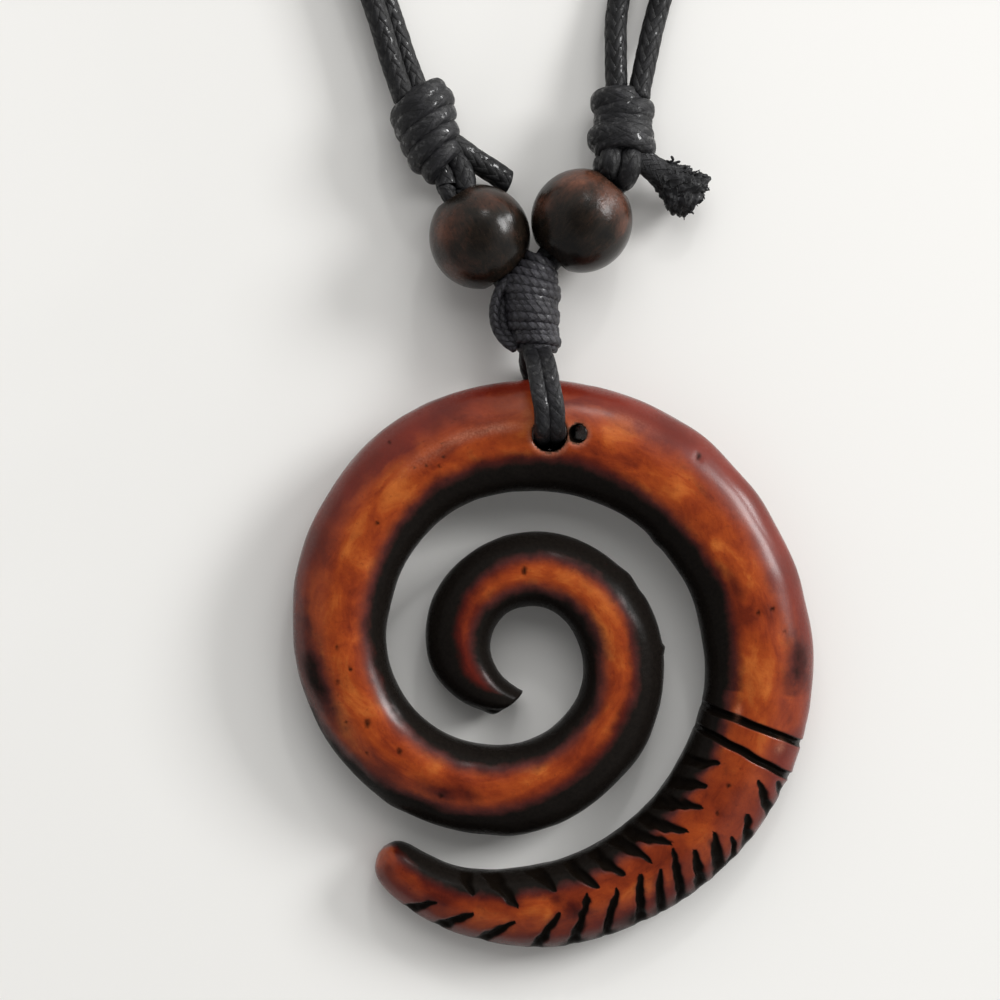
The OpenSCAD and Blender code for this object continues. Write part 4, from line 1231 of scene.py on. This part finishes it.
# Two stray ends that cross above the tuft
for stray in ([(9.9, 40.4, 2.5), (10.4, 40.6, 3.0), (10.9, 40.45, 3.1), (11.5, 40.6, 3.0)],
              [(10.3, 39.9, 2.3), (10.6, 40.3, 2.9), (10.9, 40.7, 3.2), (10.75, 41.0, 3.3)]):
    fibre_path = through(stray, 0.1)
    right_skins.append(cord_skin(fibre_path, sides_along(fibre_path, (0.2, 0.3, 1)), 0.13, 0.11,
                                 sides=8, yarns=2, stitch=0.8, relief=0.02, seed=79,
                                 shade=tuft_shade))
joined("knot_right_wraps", right_skins, cotton, "black_cord", "knot_right")

# The neck cords
# Two strands of round braided cotton, waxed black, from the left knot round the back of the neck to
# the right knot.

# The middle of the pair, then half the distance between the strands and how much higher the outer is
NECK = [
    (-10.3715, 46.7059, 2.1673, 0.62, 1.4), (-11.1544, 48.8825, 1.8044, 0.58, 1.5),
    (-12.6, 53.4, 1.75, 0.52, 1.5), (-15.3, 61.0, 1.65, 0.56, 1.5), (-20.0, 71.0, 1.5, 0.8, 1.2),
    (-28.0, 83.0, 1.1, 1.05, 0.3), (-37.5, 96.0, 0.9, 1.05, 0), (-46.0, 111.0, 0.9, 1.05, 0),
    (-51.0, 128.0, 0.9, 1.05, 0), (-50.5, 146.0, 0.9, 1.05, 0), (-43.5, 162.0, 0.9, 1.05, 0),
    (-31.0, 174.0, 0.9, 1.05, 0), (-16.0, 180.5, 0.9, 1.05, 0), (0.0, 182.0, 0.9, 1.05, 0),
    (16.0, 180.5, 0.9, 1.05, 0), (31.0, 174.0, 0.9, 1.05, 0), (43.5, 162.0, 0.9, 1.05, 0),
    (50.5, 146.0, 0.9, 1.05, 0), (51.0, 128.0, 0.9, 1.05, 0), (45.5, 110.0, 0.9, 1.05, 0),
    (36.0, 94.5, 0.9, 1.15, 0), (25.0, 81.5, 0.9, 1.40, 0), (15.5, 70.0, 0.9, 1.70, 0),
    (10.2, 60.5, 0.9, 1.80, 0), (8.2, 53.4, 1.2, 1.62, 0),
    (7.65, 49.7809, 1.9295, 1.30, 0), (7.35, 46.7407, 2.4113, 0.95, 0),
]
tucked_steps = 15
pair = through(NECK)
middle = pair[:, :3]
forward = np.gradient(middle, axis=0)
sideways = np.stack([-forward[:, 1], forward[:, 0], 0 * forward[:, 0]], 1)
sideways /= np.linalg.norm(sideways, axis=1, keepdims=True)
first_way = (middle[0] - middle[3]) / np.linalg.norm(middle[0] - middle[3])
last_way = (middle[-1] - middle[-4]) / np.linalg.norm(middle[-1] - middle[-4])
tucked_in = np.arange(tucked_steps, 0, -1)[:, None] * cord_step
for name, side, seed in (("outer", 1, 81), ("inner", -1, 82)):
    strand = middle + sideways * (side * pair[:, 3])[:, None]
    strand[:, 2] = np.maximum(strand[:, 2] + side * pair[:, 4] / 2, cord_r)
    strand = np.concatenate([strand[0] + first_way * tucked_in, strand,
                             strand[-1] + last_way * tucked_in[::-1]])
    spine = through(strand[::2], 0.16)
    skin = cord_skin(spine, sides_along(spine, (0, 0, 1)), cord_r, cord_r, sides=40, yarns=8,
                     stitch=1.2, relief=0.05, seed=seed, lumps=0.016, shade=-0.37, shown=0.85)
    joined("neck_cord_" + name + "_braided", [skin], cotton, "black_cord", "neck_cord_" + name)

# The floor
# A plain pale surface that the necklace lies on.

floor_mesh = bpy.data.meshes.new("floor")
reach = 3.0
floor_z = -0.00005
floor_mesh.from_pydata([(-reach, -reach, floor_z), (reach, -reach, floor_z),
                        (reach, reach, floor_z), (-reach, reach, floor_z)], [], [(0, 1, 2, 3)])
floor = bpy.data.objects.new("floor", floor_mesh)
scene.collection.objects.link(floor)
paper, paint = new_material("pale_floor")
paint.finish({"Base Color": colour(234, 233, 230), "Roughness": 0.8})
floor_mesh.materials.append(paper)

# The lights
# A wide low window to the upper right, a soft sheet of light above and a pale room, darker away
# from the window.


def soft_light(name, azimuth, elevation, distance, width, tall, power, aim=(0.0, -0.065, 0.0)):
    light = bpy.data.lights.new(name, "AREA")
    light.shape, light.size, light.size_y, light.energy = "RECTANGLE", width, tall, power
    lamp = bpy.data.objects.new(name, light)
    a, e = math.radians(azimuth), math.radians(elevation)
    way = np.array([math.cos(a) * math.cos(e), math.sin(a) * math.cos(e), math.sin(e)])
    lamp.location = np.array(aim) + way * distance
    lamp.rotation_mode = "QUATERNION"
    lamp.rotation_quaternion = Vector(-way).to_track_quat("-Z", "Y")
    lamp.visible_camera = False
    scene.collection.objects.link(lamp)
    return lamp


soft_light("window", 26, 28, 1.0, 0.40, 0.27, 6.9)
soft_light("window sill", 31, 7, 1.0, 0.13, 0.10, 2.2)
soft_light("lamp", 76, 38, 1.0, 0.07, 0.07, 0.7)
soft_light("sky panel", 80, 50, 1.0, 0.90, 0.80, 4.1).visible_glossy = False
room = bpy.data.worlds.new("room")
scene.world = room
room.use_nodes = True
paint = Paint(room.node_tree)
seen_way = paint.nodes.new("ShaderNodeTexCoord").outputs["Generated"]
ceiling = paint.ramp(paint.parts(seen_way)["Z"],
                     [(0.72, (1, 0.99, 0.97, 1)), (0.93, (0.25, 0.25, 0.25, 1))])
toward_window = paint.nodes.new("ShaderNodeVectorMath")
toward_window.operation = "DOT_PRODUCT"
paint.feed(toward_window.inputs, {0: seen_way, 1: (0.64, 0.77, 0.0)})
walls = paint.ramp(paint.math("MULTIPLY_ADD", toward_window.outputs["Value"], 0.5, 0.5),
                   [(0.15, (0.48, 0.48, 0.49, 1)), (0.85, WHITE)])
paint.feed(paint.nodes["Background"].inputs,
           {"Color": paint.mix(1.0, ceiling, walls, "MULTIPLY"), "Strength": 0.82})
